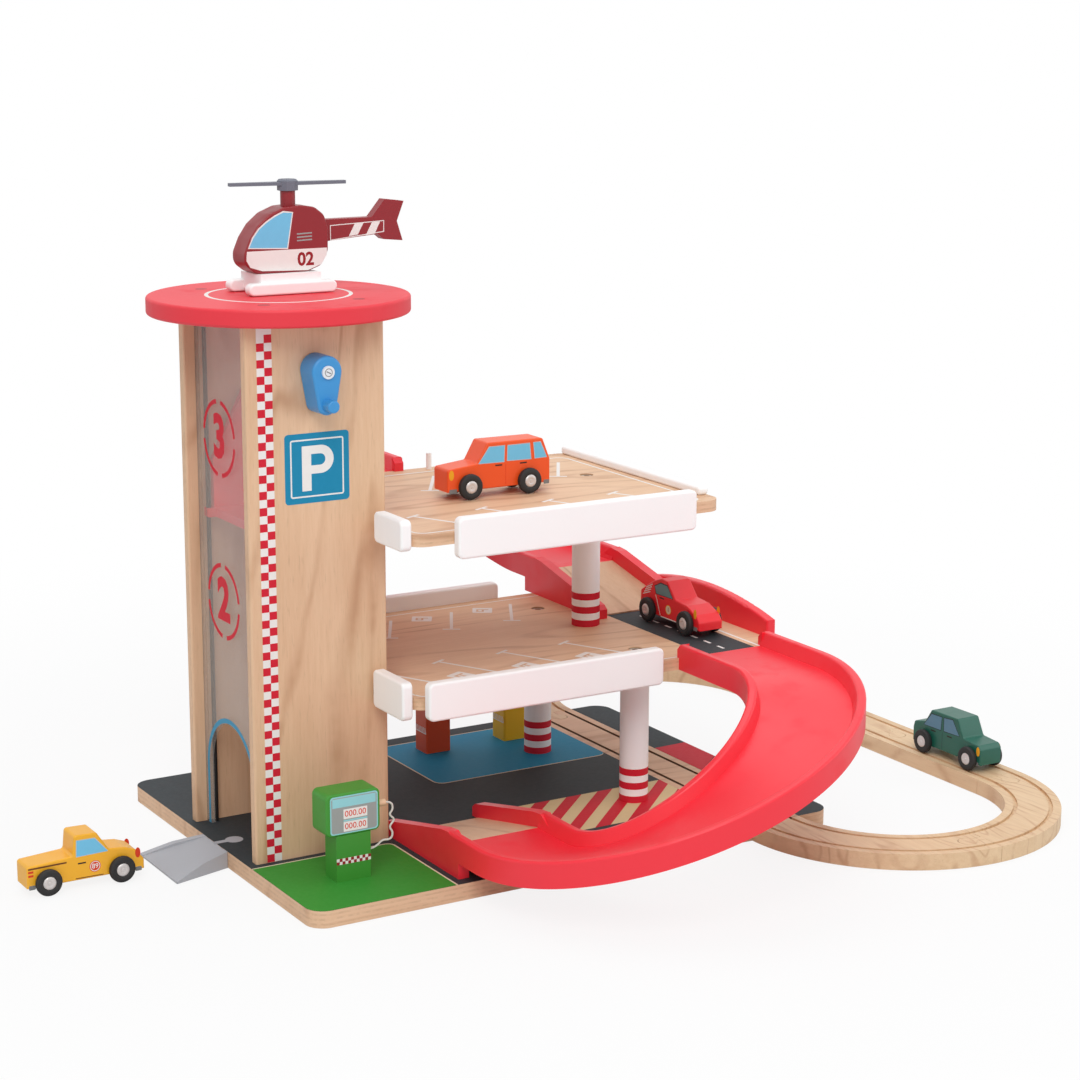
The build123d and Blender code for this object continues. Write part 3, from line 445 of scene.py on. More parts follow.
# %% [markdown]
# ## Shapes and pieces
# Prints, wheels and the lift's cord are made of loops of points. These helpers
# make a loop, join two loops with faces, and turn a finished mesh into a piece
# that rides on its body.

# %% Loops, bands of faces and finished pieces
def circle(cx, cy, r, count=48, start=0.0, turn=360.0):
    """Points on an arc, in millimetres, angles in degrees."""
    steps = count if abs(turn) >= 360 else count + 1
    angles = [math.radians(start + turn * i / count) for i in range(steps)]
    return [(cx + r * math.cos(a), cy + r * math.sin(a)) for a in angles]


def rounded(x0, y0, x1, y1, r, corner_steps=6):
    """Rectangle with rounded corners."""
    points = []
    for cx, cy, start in ((x1 - r, y1 - r, 0), (x0 + r, y1 - r, 90),
                          (x0 + r, y0 + r, 180), (x1 - r, y0 + r, 270)):
        points += circle(cx, cy, r, corner_steps, start, 90)
    return points


def bridge(mesh, a, b):
    """Joins two loops of as many points with a band of faces."""
    made = []
    for i in range(len(a)):
        j = (i + 1) % len(a)
        made.append(mesh.faces.new((a[i], a[j], b[j], b[i])))
    return made


def finished(name, data, body):
    """Makes a mesh a piece that rides on a body."""
    piece = show(name, data)
    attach(piece, body)
    print(name, "has", len(data.polygons), "faces")
    return piece


def keep(name, mesh, materials, body):
    """Turns a bmesh into a finished piece."""
    bmesh.ops.recalc_face_normals(mesh, faces=mesh.faces[:])
    data = bpy.data.meshes.new(name)
    mesh.to_mesh(data)
    mesh.free()
    for material in materials:
        data.materials.append(material)
    return finished(name, data, body)


print("a circle has", len(circle(0, 0, 1)), "points")

# %% [markdown]
# ## A printing plate
# `Print` works like a screen printer: it takes flat shapes one after another,
# each with its ink and its layer, and makes one piece of them at the end. A
# shape has a bottom and sides, so it is a closed body as real ink is.

# %% The print class
class Print:
    """Ink shapes on one plane; u and v are the plane's own right and up."""

    def __init__(self, name, origin, u, v, outward=None):
        """A plane whose outward side isn't that of u and v mirrors its shapes."""
        self.name = name
        u, v = Vector(u), Vector(v)
        outward = u.cross(v) if outward is None else Vector(outward)
        self.plane = Matrix((u, v, outward)).transposed().to_4x4()
        self.plane.translation = Vector(origin) * MM
        self.mesh = bmesh.new()
        self.used = []

    def index(self, colour):
        if colour not in self.used:
            self.used.append(colour)
        return self.used.index(colour)

    def loop(self, points, height):
        return [self.mesh.verts.new(self.plane @ Vector((x * MM, y * MM, height * MM)))
                for x, y in points]

    def slab(self, outer, colour, layer=0, hole=None):
        """A flat shape with a bottom and sides; hole has as many points as outer."""
        top_z = INK_LIFT + INK_LAYER * layer
        top, low = self.loop(outer, top_z), self.loop(outer, 0.0)
        made = bridge(self.mesh, low, top)
        if hole:
            in_top, in_low = self.loop(hole, top_z), self.loop(hole, 0.0)
            for a, b in ((in_top, in_low), (top, in_top), (in_low, low)):
                made += bridge(self.mesh, a, b)
        else:
            made.append(self.mesh.faces.new(top))
            made.append(self.mesh.faces.new(low[::-1]))
        for face in made:
            face.material_index = self.index(colour)

    def box(self, x0, y0, x1, y1, colour, layer=0):
        self.slab([(x0, y0), (x1, y0), (x1, y1), (x0, y1)], colour, layer)

    def frame(self, x0, y0, x1, y1, r, width, colour, layer=0):
        """Outline of a rounded rectangle."""
        inner = rounded(x0 + width, y0 + width, x1 - width, y1 - width, max(r - width, 0.2))
        self.slab(rounded(x0, y0, x1, y1, r), colour, layer, inner)

    def arc(self, cx, cy, r, width, colour, start, turn, layer=0, count=24):
        """Part of a ring."""
        outer = circle(cx, cy, r + width / 2, count, start, turn)
        inner = circle(cx, cy, r - width / 2, count, start, turn)
        self.slab(outer + inner[::-1], colour, layer)

    def ring(self, cx, cy, r, width, colour, layer=0, count=96):
        self.slab(circle(cx, cy, r + width / 2, count), colour, layer,
                  circle(cx, cy, r - width / 2, count))

    def line(self, p, q, width, colour, layer=0):
        p, q = Vector(p), Vector(q)
        side = Vector((p.y - q.y, q.x - p.x)).normalized() * width / 2
        self.slab([p - side, q - side, q + side, p + side], colour, layer)

    def outline(self, points, width, colour, layer=0):
        """A closed line along the inside of a shape that bulges everywhere."""
        points = [Vector(p) for p in points]
        middle = sum(points, Vector((0, 0))) / len(points)
        inner = []
        for i, p in enumerate(points):
            before = (p - points[i - 1]).normalized()
            after = (points[(i + 1) % len(points)] - p).normalized()
            normal = Vector((-(before + after).y, (before + after).x)).normalized()
            if normal.dot(middle - p) < 0:
                normal.negate()
            inner.append(p + normal * width)
        self.slab(points, colour, layer, inner)

    def figures(self, text, centre, height, colour, layer=0, weight=0.0):
        """Plain figures from Blender's own font, centred on a point.

        A mirrored plane turns the figures round, so they are turned back first.
        """
        turned = -1 if self.plane.determinant() < 0 else 1
        curve = bpy.data.curves.new("figures", "FONT")
        curve.body = text
        curve.align_x, curve.align_y = "CENTER", "CENTER"
        curve.size = height * FONT_RATIO * MM
        curve.offset = weight * MM
        lift = (INK_LIFT + INK_LAYER * layer) / 2 * MM
        curve.extrude = lift
        curve.resolution_u = 3
        holder = bpy.data.objects.new("figures", curve)
        flat = bpy.data.meshes.new_from_object(holder)
        middle = Matrix.Translation((centre[0] * MM, centre[1] * MM, lift))
        flat.transform(self.plane @ middle @ Matrix.Diagonal((turned, 1, 1, 1)))
        before = len(self.mesh.faces)
        self.mesh.from_mesh(flat)
        self.mesh.faces.ensure_lookup_table()
        for face in self.mesh.faces[before:]:
            face.material_index = self.index(colour)
        bpy.data.objects.remove(holder)
        bpy.data.meshes.remove(flat)

    def done(self, body, slot="white_paint"):
        keep(self.name, self.mesh, [INKS[colour] for colour in self.used], body)


def print_on_top(name, z, x=0.0, y=0.0):
    """Ink on a face that looks up."""
    return Print(name, (x, y, z), (1, 0, 0), (0, 1, 0))


def print_on_front(name, y):
    """Ink on a face that looks to the front, so right is x and up is z."""
    return Print(name, (0, y, 0), (1, 0, 0), (0, 0, 1))


print("first layer of ink:", INK_LIFT, "mm")

# %% [markdown]
# ## Repeating things with Geometry Nodes
# Checks, dashes and the bands on a post are one shape placed at equal steps.
# A small tree does it: a line of points, an instance on each, then real mesh.
# The sizes are the tree's inputs, so one tree serves many pieces.

# %% Geometry Nodes for repeats
class Tree(Wires):
    """A geometry tree with named inputs, written as calls."""

    def __init__(self, name, inputs):
        super().__init__(bpy.data.node_groups.new(name, "GeometryNodeTree"))
        sockets = self.tree.interface
        for label, kind in inputs.items():
            sockets.new_socket(label, in_out="INPUT", socket_type=kind)
        sockets.new_socket("Geometry", in_out="OUTPUT", socket_type="NodeSocketGeometry")
        self.given = {label: self.add("NodeGroupInput", out=label) for label in inputs}

    def repeat(self, shape):
        """Points at equal steps, the shape on each, made real, with its material."""
        points = self.add("GeometryNodeMeshLine", {"mode": "OFFSET"}, {
            "Count": self.given["Count"], "Start Location": self.given["Start"],
            "Offset": self.given["Step"]})
        placed = self.add("GeometryNodeInstanceOnPoints", {}, {
            "Points": points, "Instance": shape})
        real = self.add("GeometryNodeRealizeInstances", {}, {"Geometry": placed})
        final = self.add("GeometryNodeSetMaterial", {}, {
            "Geometry": real, "Material": self.given["Material"]})
        self.add("NodeGroupOutput", {}, {0: final})
        return self.tree


STEPS = {"Count": "NodeSocketInt", "Start": "NodeSocketVector", "Step": "NodeSocketVector",
         "Material": "NodeSocketMaterial"}


tiles = Tree("row_of_tiles", {**STEPS, "Size": "NodeSocketVector"})
ROW_OF_TILES = tiles.repeat(
    tiles.add("GeometryNodeMeshCube", {}, {"Size": tiles.given["Size"]}))
bands = Tree("bands_on_a_post", {**STEPS, "Radius": "NodeSocketFloat", "Height": "NodeSocketFloat"})
BANDS_ON_A_POST = bands.repeat(bands.add("GeometryNodeMeshCylinder", {}, {
    "Vertices": 64, "Radius": bands.given["Radius"], "Depth": bands.given["Height"]}))
print("nodes in a tree:", len(ROW_OF_TILES.nodes))


def grow(name, group, body, slot="white_paint", **inputs):
    """Runs a tree with these inputs and keeps the result as a plain mesh."""
    seed = show(name + "_seed", bpy.data.meshes.new(name + "_seed"))
    modifier = seed.modifiers.new("grow", "NODES")
    modifier.node_group = group
    for item in group.interface.items_tree:
        if item.item_type == "SOCKET" and item.in_out == "INPUT" and item.name in inputs:
            modifier[item.identifier] = inputs[item.name]
    bpy.context.view_layer.update()
    ready = seed.evaluated_get(bpy.context.evaluated_depsgraph_get())
    mesh = bpy.data.meshes.new_from_object(ready)
    mesh.name = name
    bpy.data.objects.remove(seed)
    return finished(name, mesh, body)


def row(name, body, colour, start, step, count, size):
    """Tiles at equal steps; start is the first tile's centre, in millimetres."""
    return grow(name, ROW_OF_TILES, body, Count=count, Start=Vector(start) * MM,
                Step=Vector(step) * MM, Size=Vector(size) * MM, Material=INKS[colour])


# %% [markdown]
# ## Prints on the base board
# The board is charcoal like a street, with a green lawn under the pump, a blue
# wash bay, a hatched corner and the bare road band with its two grooves.

# %% Base board prints
EDGE_X, EDGE_Y, EDGE_R = 205.0, 155.0, 13.0
BAND_X0, BAND_X1 = 136.0, 176.0

street = print_on_top("base_prints", BOARD_TOP)
left_side = (circle(-EDGE_X + EDGE_R, EDGE_Y - EDGE_R, EDGE_R, 8, 90, 90)
             + circle(-EDGE_X + EDGE_R, -EDGE_Y + EDGE_R, EDGE_R, 8, 180, 90)
             + [(BAND_X0, -EDGE_Y), (BAND_X0, EDGE_Y)])
right_side = (circle(EDGE_X - EDGE_R, -EDGE_Y + EDGE_R, EDGE_R, 8, 270, 90)
              + circle(EDGE_X - EDGE_R, EDGE_Y - EDGE_R, EDGE_R, 8, 0, 90)
              + [(BAND_X1, EDGE_Y), (BAND_X1, -EDGE_Y)])
street.slab(left_side, "charcoal")
street.slab(right_side, "charcoal")
BORDER = 1.3             # the lawn's cream border
for inset, colour, layer in ((0.0, "cream", 1), (BORDER, "grass", 2)):
    street.slab(circle(-192.0, -142.0, 12.9, 8, 180, 90) + [(-100.2 - inset, -154.9)]
                + circle(-106.2, -65.3, 6.0 - inset, 6, 0, 90)
                + [(-204.9, -59.3 - inset)], colour, layer)
street.slab(rounded(-12.2, 36.3, 135.9, 140.0, 8.0), "cream", 1)
street.slab(rounded(-11.0, 37.5, 135.9, 138.8, 7.0), "lake", 2)
street.slab([(176.1, -33.6), (204.9, -8.6), (204.9, 32.4), (176.1, 31.3)], "red", 1)
HATCH = (11.0, -104.0, 135.9, -36.5)
street.slab(rounded(*HATCH, 1.5), "straw", 1)
STRIPE_STEP, STRIPE_W, STRIPE_LEAN = 26.7, 13.0, 1.05
STRIPE_START = 28.0      # where a stripe's left edge meets the field's upper edge


def clip(points, axis, limit, keep_more):
    """Cuts a polygon along a line of constant x or y."""
    kept = []
    for i, p in enumerate(points):
        q = points[i - 1]
        p_in = (p[axis] >= limit) == keep_more
        q_in = (q[axis] >= limit) == keep_more
        if p_in != q_in:
            t = (limit - q[axis]) / (p[axis] - q[axis])
            kept.append((q[0] + t * (p[0] - q[0]), q[1] + t * (p[1] - q[1])))
        if p_in:
            kept.append(p)
    return kept


hx0, hy0, hx1, hy1 = HATCH
lean = (hy1 - hy0) * STRIPE_LEAN
stripes = 0
for k in range(7):
    x = STRIPE_START - lean + (k - 1) * STRIPE_STEP
    bar = [(x, hy0), (x + STRIPE_W, hy0), (x + STRIPE_W + lean, hy1), (x + lean, hy1)]
    bar = clip(clip(bar, 0, hx0, True), 0, hx1, False)
    if len(bar) > 2:
        street.slab(bar, "red", 2)
        stripes += 1
KNOB_X, KNOB_R = -191.0, 6.2      # the round end of the access ramp's tongue
street.slab(circle(KNOB_X, 1.0, KNOB_R, 32, -157.2, 314.4)
            + [(-EDGE_X, 3.4), (-EDGE_X, -1.4)], "connector", 3)
street.done("garage")
print("hatch stripes:", stripes)

# %% [markdown]
# ## Prints on the tower
# A red and white check runs up the front wall. It is a white strip with two
# columns of red squares, one column a square higher than the other. Next to it
# is the parking sign.

# %% Tower checks
CHECK = 5.4
CHECK_X = -191.0
CHECK_LOW, CHECK_HIGH = 11.8, 374.4
TOWER_FRONT = -54.0
OVER_WHITE = 0.04      # a red check's middle lies this far out, and it is 0.1 thick
checks = print_on_front("tower_check_strip", TOWER_FRONT)
checks.box(CHECK_X, CHECK_LOW, CHECK_X + 2 * CHECK, CHECK_HIGH, "white")
checks.done("garage")
check_count = int((CHECK_HIGH - CHECK_LOW) / CHECK / 2)
for column in (0, 1):
    row(f"tower_checks_{column + 1}", "garage", "red",
        (CHECK_X + CHECK * (0.5 + column), TOWER_FRONT - OVER_WHITE,
         CHECK_LOW + CHECK * (0.5 + column)),
        (0, 0, 2 * CHECK), check_count, (CHECK, 0.10, CHECK))
print("checks:", 2 * check_count)

# %% [markdown]
# ## The parking sign
# A blue square with rounded corners and a fine white line inside its border.
# The letter is drawn from a stem and a bowl, so that it needs no font.

# %% Parking sign
SIGN = (-172.5, 254.8, -125.8, 301.5)
sign = print_on_front("parking_sign", TOWER_FRONT)
sign.slab(rounded(*SIGN, 2.6), "blue")
sign.frame(SIGN[0] + 4.0, SIGN[1] + 4.0, SIGN[2] - 4.0, SIGN[3] - 4.0, 1.6, 1.0, "white", 1)
LETTER_H, STEM_W = 30.0, 6.7
BOWL_OUT, BOWL_IN = 9.4, 3.8          # radii of the letter's bowl
left, foot = SIGN[0] + 12.4, SIGN[1] + 8.2
right, head = left + STEM_W, foot + LETTER_H
bowl_z = head - BOWL_OUT
sign.box(left, foot, right, head, "white", 1)
bowl = [(right, bowl_z - BOWL_OUT)] + circle(left + 13.6, bowl_z, BOWL_OUT, 24, -90, 180)
bowl += [(right, head), (right, bowl_z + BOWL_IN)]
bowl += circle(left + 13.2, bowl_z, BOWL_IN, 24, 90, -180) + [(right, bowl_z - BOWL_IN)]
sign.slab(bowl, "white", 1)
sign.done("garage")

# %% [markdown]
# ## The crank's cap
# The blue crank is held by a white cap. It has no cut groove or slot: two thin grey marks on the
# cap's face paint the shade of a groove round its edge and of a slot across it, and they turn with
# the crank.

# %% The slot in the crank's cap
CAP_FACE = -75.5
cap = print_on_front("crank_cap_slot", CAP_FACE)
# Painted shade of the edge groove and the slot, in grey ink.
cap.ring(-150.0, 343.8, 2.5, 0.5, "bumper", 0, 36)
cap.line((-151.6, 344.6), (-148.4, 343.0), 0.7, "bumper")
cap.done("crank", "white_plastic")

# %% [markdown]
# ## Prints on the lift window
# Each level has its number in a broken ring, and a blue line runs round the
# gate. The window's outer face looks along minus X, so the print's right is
# minus Y.

# %% Window prints
GATE_Y, GATE_R, GATE_SPRING = 4.0, 37.0, 55.7      # the gate's middle, radius, spring
TRIM_W, TRIM_GAP = 3.4, 2.0
glass = Print("window_prints", (-190.5, 0, 0), (0, -1, 0), (0, 0, 1))
for figure, y, z in (("3", 10.5, 291.0), ("2", 9.5, 178.7)):
    for start in (8, 98, 188, 278):
        glass.arc(-y, z, 25.0, 3.0, "red", start, 74)
    glass.figures(figure, (-y, z), 29.0, "red", weight=1.6)
for side in (-1, 1):
    u = -GATE_Y + side * (GATE_R + TRIM_GAP)
    glass.box(u - TRIM_W / 2, 11.6, u + TRIM_W / 2, GATE_SPRING, "trim")
glass.arc(-GATE_Y, GATE_SPRING, GATE_R + TRIM_GAP, TRIM_W, "trim", 0, 180, count=36)
glass.done("garage", "clear_window")

# %% [markdown]
# ## The helipad
# A single white ring round the pad's centre marks the landing spot.

# %% Helipad ring
PAD_TOP, PAD_X, PAD_Y = 386.7, -149.0, 1.0
pad = print_on_top("helipad_ring", PAD_TOP)
pad.ring(PAD_X, PAD_Y, 48.0, 2.6, "white")
pad.done("garage")

# %% [markdown]
# ## The decks
# Both decks have slanted parking bays: each line ends in a short cross bar.
# The lower deck also has small parking icons and a charcoal road with dashes
# at its right edge, where the ramps meet.

# %% Lower deck
LOW_TOP, UP_TOP = 124.5, 237.5
LINE = 2.4
BAY_STEP = 51.5


def bay(deck, foot, head):
    """One parking line with a cross bar at its head."""
    deck.line(foot, head, LINE, "white")
    along = (Vector(head) - Vector(foot)).normalized()
    across = Vector((-along.y, along.x)) * 6.5
    deck.line(Vector(head) - across, Vector(head) + across, LINE, "white", 1)


ICON = 15.0
ICON_STROKES = ((-4.6, 1.2, 4.6, 3.0), (-4.6, -2.6, -3.0, 1.2), (-0.4, -2.6, 1.2, 1.2),
                (-4.6, -4.2, 1.2, -2.6))      # the letter lies on its side


def parking_icon(deck, x, y, tilt):
    """A small white square, turned like its bay, with a bare letter on its side."""
    turn = Matrix.Rotation(math.radians(tilt), 2)

    def turned(points):
        return [Vector((x, y)) + turn @ Vector(point) for point in points]

    deck.slab(turned(rounded(-ICON / 2, -ICON / 2, ICON / 2, ICON / 2, 1.0)), "white")
    for x0, y0, x1, y1 in ICON_STROKES:
        deck.slab(turned([(x0, y0), (x1, y0), (x1, y1), (x0, y1)]), "bare", 1)


low = print_on_top("lower_deck_prints", LOW_TOP)
low.box(129.0, -102.9, 171.5, 27.4, "charcoal")
# Painted shadow: a thin dark line on the deck at the foot of the ramp bed stands for the shade in
# the gap there.
low.line((129.0, 26.9), (187.0, 26.9), 1.0, "dark", 1)
low.line((176.6, -102.5), (176.6, 26.0), 2.0, "white")
low.line((-98.0, -92.0), (-98.0, -55.0), 1.6, "white")
low.arc(-90.0, -91.0, 7.2, 1.6, "white", 180, 90, 1)
low.line((-91.0, -98.2), (128.0, -98.2), 1.6, "white")
low.line((-97.0, 107.5), (120.0, 107.5), 1.6, "white")
for i in range(4):
    shift = i * BAY_STEP
    bay(low, (-71.0 + shift, 95.0), (-95.5 + shift, 50.0))
    bay(low, (-62.0 + shift, -90.0), (-95.5 + shift, -24.5))
for x in (-48.5, 3.0, 55.0):
    parking_icon(low, x, 88.0, -30)
    parking_icon(low, x + 1.0, -64.0, 26)
low.done("garage")
row("road_dashes", "garage", "white", (150.0, -92.0, LOW_TOP + 0.06), (0, 17.0, 0), 7,
    (2.0, 8.0, 0.12))

# %% Upper deck
up = print_on_top("upper_deck_prints", UP_TOP)
UP_STEP = 53.2
for i in range(4):
    shift = i * UP_STEP
    bay(up, (-51.0 + shift, 66.0), (-79.5 + shift, 19.0))
    bay(up, (-56.0 + shift, -98.0), (-78.0 + shift, -52.8))
up.frame(-102.5, -105.5, 123.5, 83.5, 9.0, 1.7, "white", 2)
up.done("garage")

# %% [markdown]
# ## Screw heads
# Over each column a screw goes down through the deck. On its sunk head, a brown ring and a
# six-sided mark are painted shade: the ring stands for the shade on the sunk hole's wall, the mark
# for the shade in the socket.

# %% Screw heads in the decks
SCREW_SUNK = 0.8
COLUMNS = {"near": (95.0, -64.0, BOARD_TOP, LOW_TOP), "far": (95.0, 72.5, BOARD_TOP, LOW_TOP),
           "upper": (101.5, 14.0, LOW_TOP, UP_TOP)}      # x, y, foot and deck above
for name, (x, y, foot, deck_top) in COLUMNS.items():
    head = print_on_top(f"{name}_screw_head", deck_top - SCREW_SUNK, x, y)
    # Painted shade: the brown ring for the hole's wall, the six-sided mark for the socket.
    head.ring(0, 0, 4.55, 0.8, "rim", 0, 36)
    head.slab(circle(0, 0, 2.3, 6), "rim")
    head.done("garage", "bright_metal")

# %% [markdown]
# ## Bands on the columns
# Each white column has three red bands near its foot. They are short
# cylinders a hair wider than the post.

# %% Column bands
COLUMN_R = 10.4
BAND_H, BAND_STEP = 5.1, 10.2
INK_PROUD = 0.06
for name, (x, y, foot, deck_top) in COLUMNS.items():
    grow(f"{name}_column_bands", BANDS_ON_A_POST, "garage", "red_paint", Count=3,
         Start=Vector((x, y, foot + BAND_H / 2)) * MM, Step=Vector((0, 0, BAND_STEP)) * MM,
         Radius=(COLUMN_R + INK_PROUD) * MM, Height=BAND_H * MM, Material=INKS["red"])

# %% [markdown]
# ## Fuel pumps
# The green pump has a grey face with two counters and a row of checks on its
# post. The two block pumps behind it are plain but for a row of white strokes
# on their left sides.

# %% Green pump
PUMP_FACE, POST_FACE = -112.5, -112.0
face = print_on_front("green_pump_face", PUMP_FACE)
face.slab(rounded(-172.0, 44.8, -137.2, 70.8, 2.2), "ice")
face.slab(rounded(-171.1, 45.6, -138.1, 69.9, 1.8), "grey", 1)
face.box(-170.4, 63.2, -138.8, 69.3, "ice", 2)
WINDOW_X0, WINDOW_X1 = -162.4, -145.0      # the counters' windows
for z in (46.2, 54.8):
    face.box(WINDOW_X0, z, WINDOW_X1, z + 6.7, "white", 2)
    face.figures("000.00", ((WINDOW_X0 + WINDOW_X1) / 2, z + 3.3), 4.2, "lamp_red", 3, 0.03)
face.box(WINDOW_X0, 53.1, WINDOW_X1, 54.1, "ice", 2)
face.done("garage", "green_paint")
STRIP_X0, STRIP_X1, STRIP_Z = -167.5, -142.5, 23.6
SMALL = (STRIP_X1 - STRIP_X0) / 12
post = print_on_front("green_pump_check_strip", POST_FACE)
post.box(STRIP_X0, STRIP_Z, STRIP_X1, STRIP_Z + 2 * SMALL, "white")
post.done("garage", "green_paint")
for line in range(2):
    row(f"green_pump_checks_{line + 1}", "garage", "brick",
        (STRIP_X0 + SMALL * (0.5 + line), POST_FACE - OVER_WHITE,
         STRIP_Z + SMALL * (0.5 + line)),
        (2 * SMALL, 0, 0), 6, (SMALL, 0.10, SMALL))

# %% Block pumps
PUMP_PLACES = {"orange": (16.0, 106.0, 27.2), "yellow": (84.0, 105.0, 26.4)}
STROKE_STEP, STROKE_LEAN, STROKE_H = 2.4, 1.6, 4.6
for name, (x0, y0, z0) in PUMP_PLACES.items():
    side = Print(f"{name}_pump_side", (x0, 0, 0), (0, -1, 0), (0, 0, 1))
    for k in range(7):
        u = STROKE_STEP * k - y0 - 17.4
        side.line((u + STROKE_LEAN, z0), (u, z0 + STROKE_H), 0.9, "white", 1)
    side.line((-y0 - 17.8, z0), (-y0 - 1.2, z0), 0.7, "white")
    side.done("garage", f"{name}_paint")

# %% [markdown]
# ## The pump's string
# A limp white string hangs from the wooden nozzle in loose kinks and goes back into the post. It is
# a smooth NURBS line through the same route as the CAD piece. Its tube becomes a mesh.

# %% The pump's string
STRING_R = 0.7
STRING_ROUTE = [(-129.0, -107.5, 59.7), (-124.4, -107.5, 59.1), (-123.4, -107.5, 53.7),
                (-126.8, -107.5, 50.5), (-121.8, -107.5, 46.5), (-126.8, -107.5, 42.3),
                (-123.4, -107.5, 37.7), (-125.4, -107.5, 32.8), (-131.8, -107.5, 34.1),
                (-136.2, -107.2, 29.5), (-142.4, -106.9, 28.7)]


def nurbs_mesh(route, radius):
    """A smooth line along a route, or a tube round it when radius isn't 0."""
    curve = bpy.data.curves.new("string_line", "CURVE")
    curve.dimensions = "3D"
    spline = curve.splines.new("NURBS")
    spline.points.add(len(route) - 1)
    for point, spot in zip(spline.points, route):
        point.co = (*(Vector(spot) * MM), 1.0)
    spline.order_u = 3
    spline.use_endpoint_u = True
    spline.resolution_u = 10
    curve.bevel_depth = radius * MM
    curve.bevel_resolution = 3
    curve.use_fill_caps = True
    holder = bpy.data.objects.new("string_line", curve)
    mesh = bpy.data.meshes.new_from_object(holder)
    bpy.data.objects.remove(holder)
    return mesh


string_path = [tuple(v.co) for v in nurbs_mesh(STRING_ROUTE, 0).vertices]
string_length = sum((Vector(a) - Vector(b)).length for a, b in zip(string_path, string_path[1:]))
string_mesh = nurbs_mesh(STRING_ROUTE, STRING_R)
string_mesh.name = "pump_string"
string_mesh.materials.clear()
string_mesh.materials.append(cord_white)
string = show("pump_string", string_mesh)
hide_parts("pump_hose")
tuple(string_path[0])
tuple(string_path[-1])
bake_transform(string)
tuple(string_path[0])
print("string length in mm:", round(string_length / MM, 1))

# %% [markdown]
# ## The lift's cord
# The cord runs from the cabin's top bar to the drum. It gets many rings of points along its length.

# %% The lift's cord
CORD_X, CORD_Y = -141.3, 1.0
CORD_LOW, CORD_HIGH = 317.55, 343.8
RINGS, SIDES, CORD_R = 24, 12, 0.7
cord_mesh = bmesh.new()
rings = []
for k in range(RINGS + 1):
    z = CORD_LOW + (CORD_HIGH - CORD_LOW) * k / RINGS
    rings.append([cord_mesh.verts.new(Vector((x, y, z)) * MM)
                  for x, y in circle(CORD_X, CORD_Y, CORD_R, SIDES)])
for lower, upper in zip(rings, rings[1:]):
    bridge(cord_mesh, lower, upper)
cord_mesh.faces.new(rings[0][::-1])
cord_mesh.faces.new(rings[-1])
cord_data = bpy.data.meshes.new("lift_cord_braid")
cord_mesh.to_mesh(cord_data)
cord_mesh.free()
cord_data.materials.append(cord_white)
lift_cord = show("lift_cord_braid", cord_data)
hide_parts("lift_cord")
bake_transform(lift_cord)
print("cord length in mm:", CORD_HIGH - CORD_LOW)

# %% [markdown]
# ## Wheels
# A wheel is turned on a lathe, so a profile that is spun round its axle is the
# natural way to make one. Each pair of wheels and its axle is one piece.

# %% Wheels
WHEEL_R = 9.1
GAUGE = 25.0
TYRE = [(0.0, 1.7), (4.4, 1.7), (4.7, 2.0), (5.2, 2.3), (7.8, 2.25), (8.7, 1.8), (9.05, 1.0),
        (9.1, 0.0), (9.05, -1.0), (8.7, -1.8), (7.8, -2.25), (4.0, -2.3), (0.0, -2.3)]
HUB = [(0.0, 2.62), (1.0, 2.6), (1.2, 2.35), (1.6, 2.35), (2.0, 2.58), (3.4, 2.5), (4.1, 2.25),
       (4.5, 1.75), (4.5, 1.2), (0.0, 1.2)]
AXLE = [(0.0, 11.0), (1.3, 11.0), (1.3, -11.0), (0.0, -11.0)]


def lathe(mesh, profile, centre, axis, index, around=48):
    """Spins (radius, height) pairs round an axis and closes the ends."""
    axis = Vector(axis)
    side = axis.orthogonal().normalized()
    turned = []
    for r, h in profile:
        middle = Vector(centre) + axis * h
        if r == 0:
            turned.append([mesh.verts.new(middle * MM)])
        else:
            turned.append([mesh.verts.new((middle + Matrix.Rotation(
                2 * math.pi * k / around, 3, axis) @ side * r) * MM) for k in range(around)])
    for a, b in zip(turned, turned[1:]):
        for i in range(around):
            j = (i + 1) % around
            corners = [a[i % len(a)], a[j % len(a)], b[j % len(b)], b[i % len(b)]]
            unique = list(dict.fromkeys(corners))
            face = mesh.faces.new(unique)
            face.smooth = True
            face.material_index = index


CARS = {
    "orange": {"nose": (-34.4, -12.4, 237.8), "heading": (-1, 0, 0), "axles": (16.8, 64.4)},
    "red": {"nose": (158.0, -67.7, 124.8), "heading": (0, -1, 0), "axles": (15.3, 65.0)},
    "green": {"nose": (361.0, -146.2, 11.8), "heading": (0, -1, 0), "axles": (12.0, 64.0)},
    "yellow": {"nose": (-260.4, 3.0, 0.0), "heading": (1, 0, 0), "axles": (16.6, 67.8)},
}


def car_axes(colour):
    """The nose, the way ahead and the way to the left, from a car's entry."""
    heading = Vector(CARS[colour]["heading"])
    return Vector(CARS[colour]["nose"]), heading, Vector((0, 0, 1)).cross(heading)


for colour, car in CARS.items():
    nose, heading, left = car_axes(colour)
    for end, back in zip(("front", "rear"), car["axles"]):
        hub_spot = nose - heading * back + Vector((0, 0, WHEEL_R))
        wheel = bmesh.new()
        for side in (-1, 1):
            spot = hub_spot + left * side * GAUGE / 2
            lathe(wheel, TYRE, spot, left * side, 0)
            lathe(wheel, HUB, spot, left * side, 1)
        lathe(wheel, AXLE, hub_spot, left, 1, 16)
        pair = keep(f"{colour}_{end}_wheel_pair", wheel, [tyre_rubber, hub_silver],
                    f"{colour}_car_{end}_axle")
        pair.data.set_sharp_from_angle(angle=math.radians(35))
        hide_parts(f"{colour}_car_{end}_wheels")
print("wheels:", 4 * len(CARS))

# %% [markdown]
# ## Prints on the cars
# The photo shows one flank of each car, and the other one carries the same
# print here. It is drawn once, with x as the distance behind the nose, and
# mirrored for the far flank.

# %% Car prints
BODY_W = 20.4


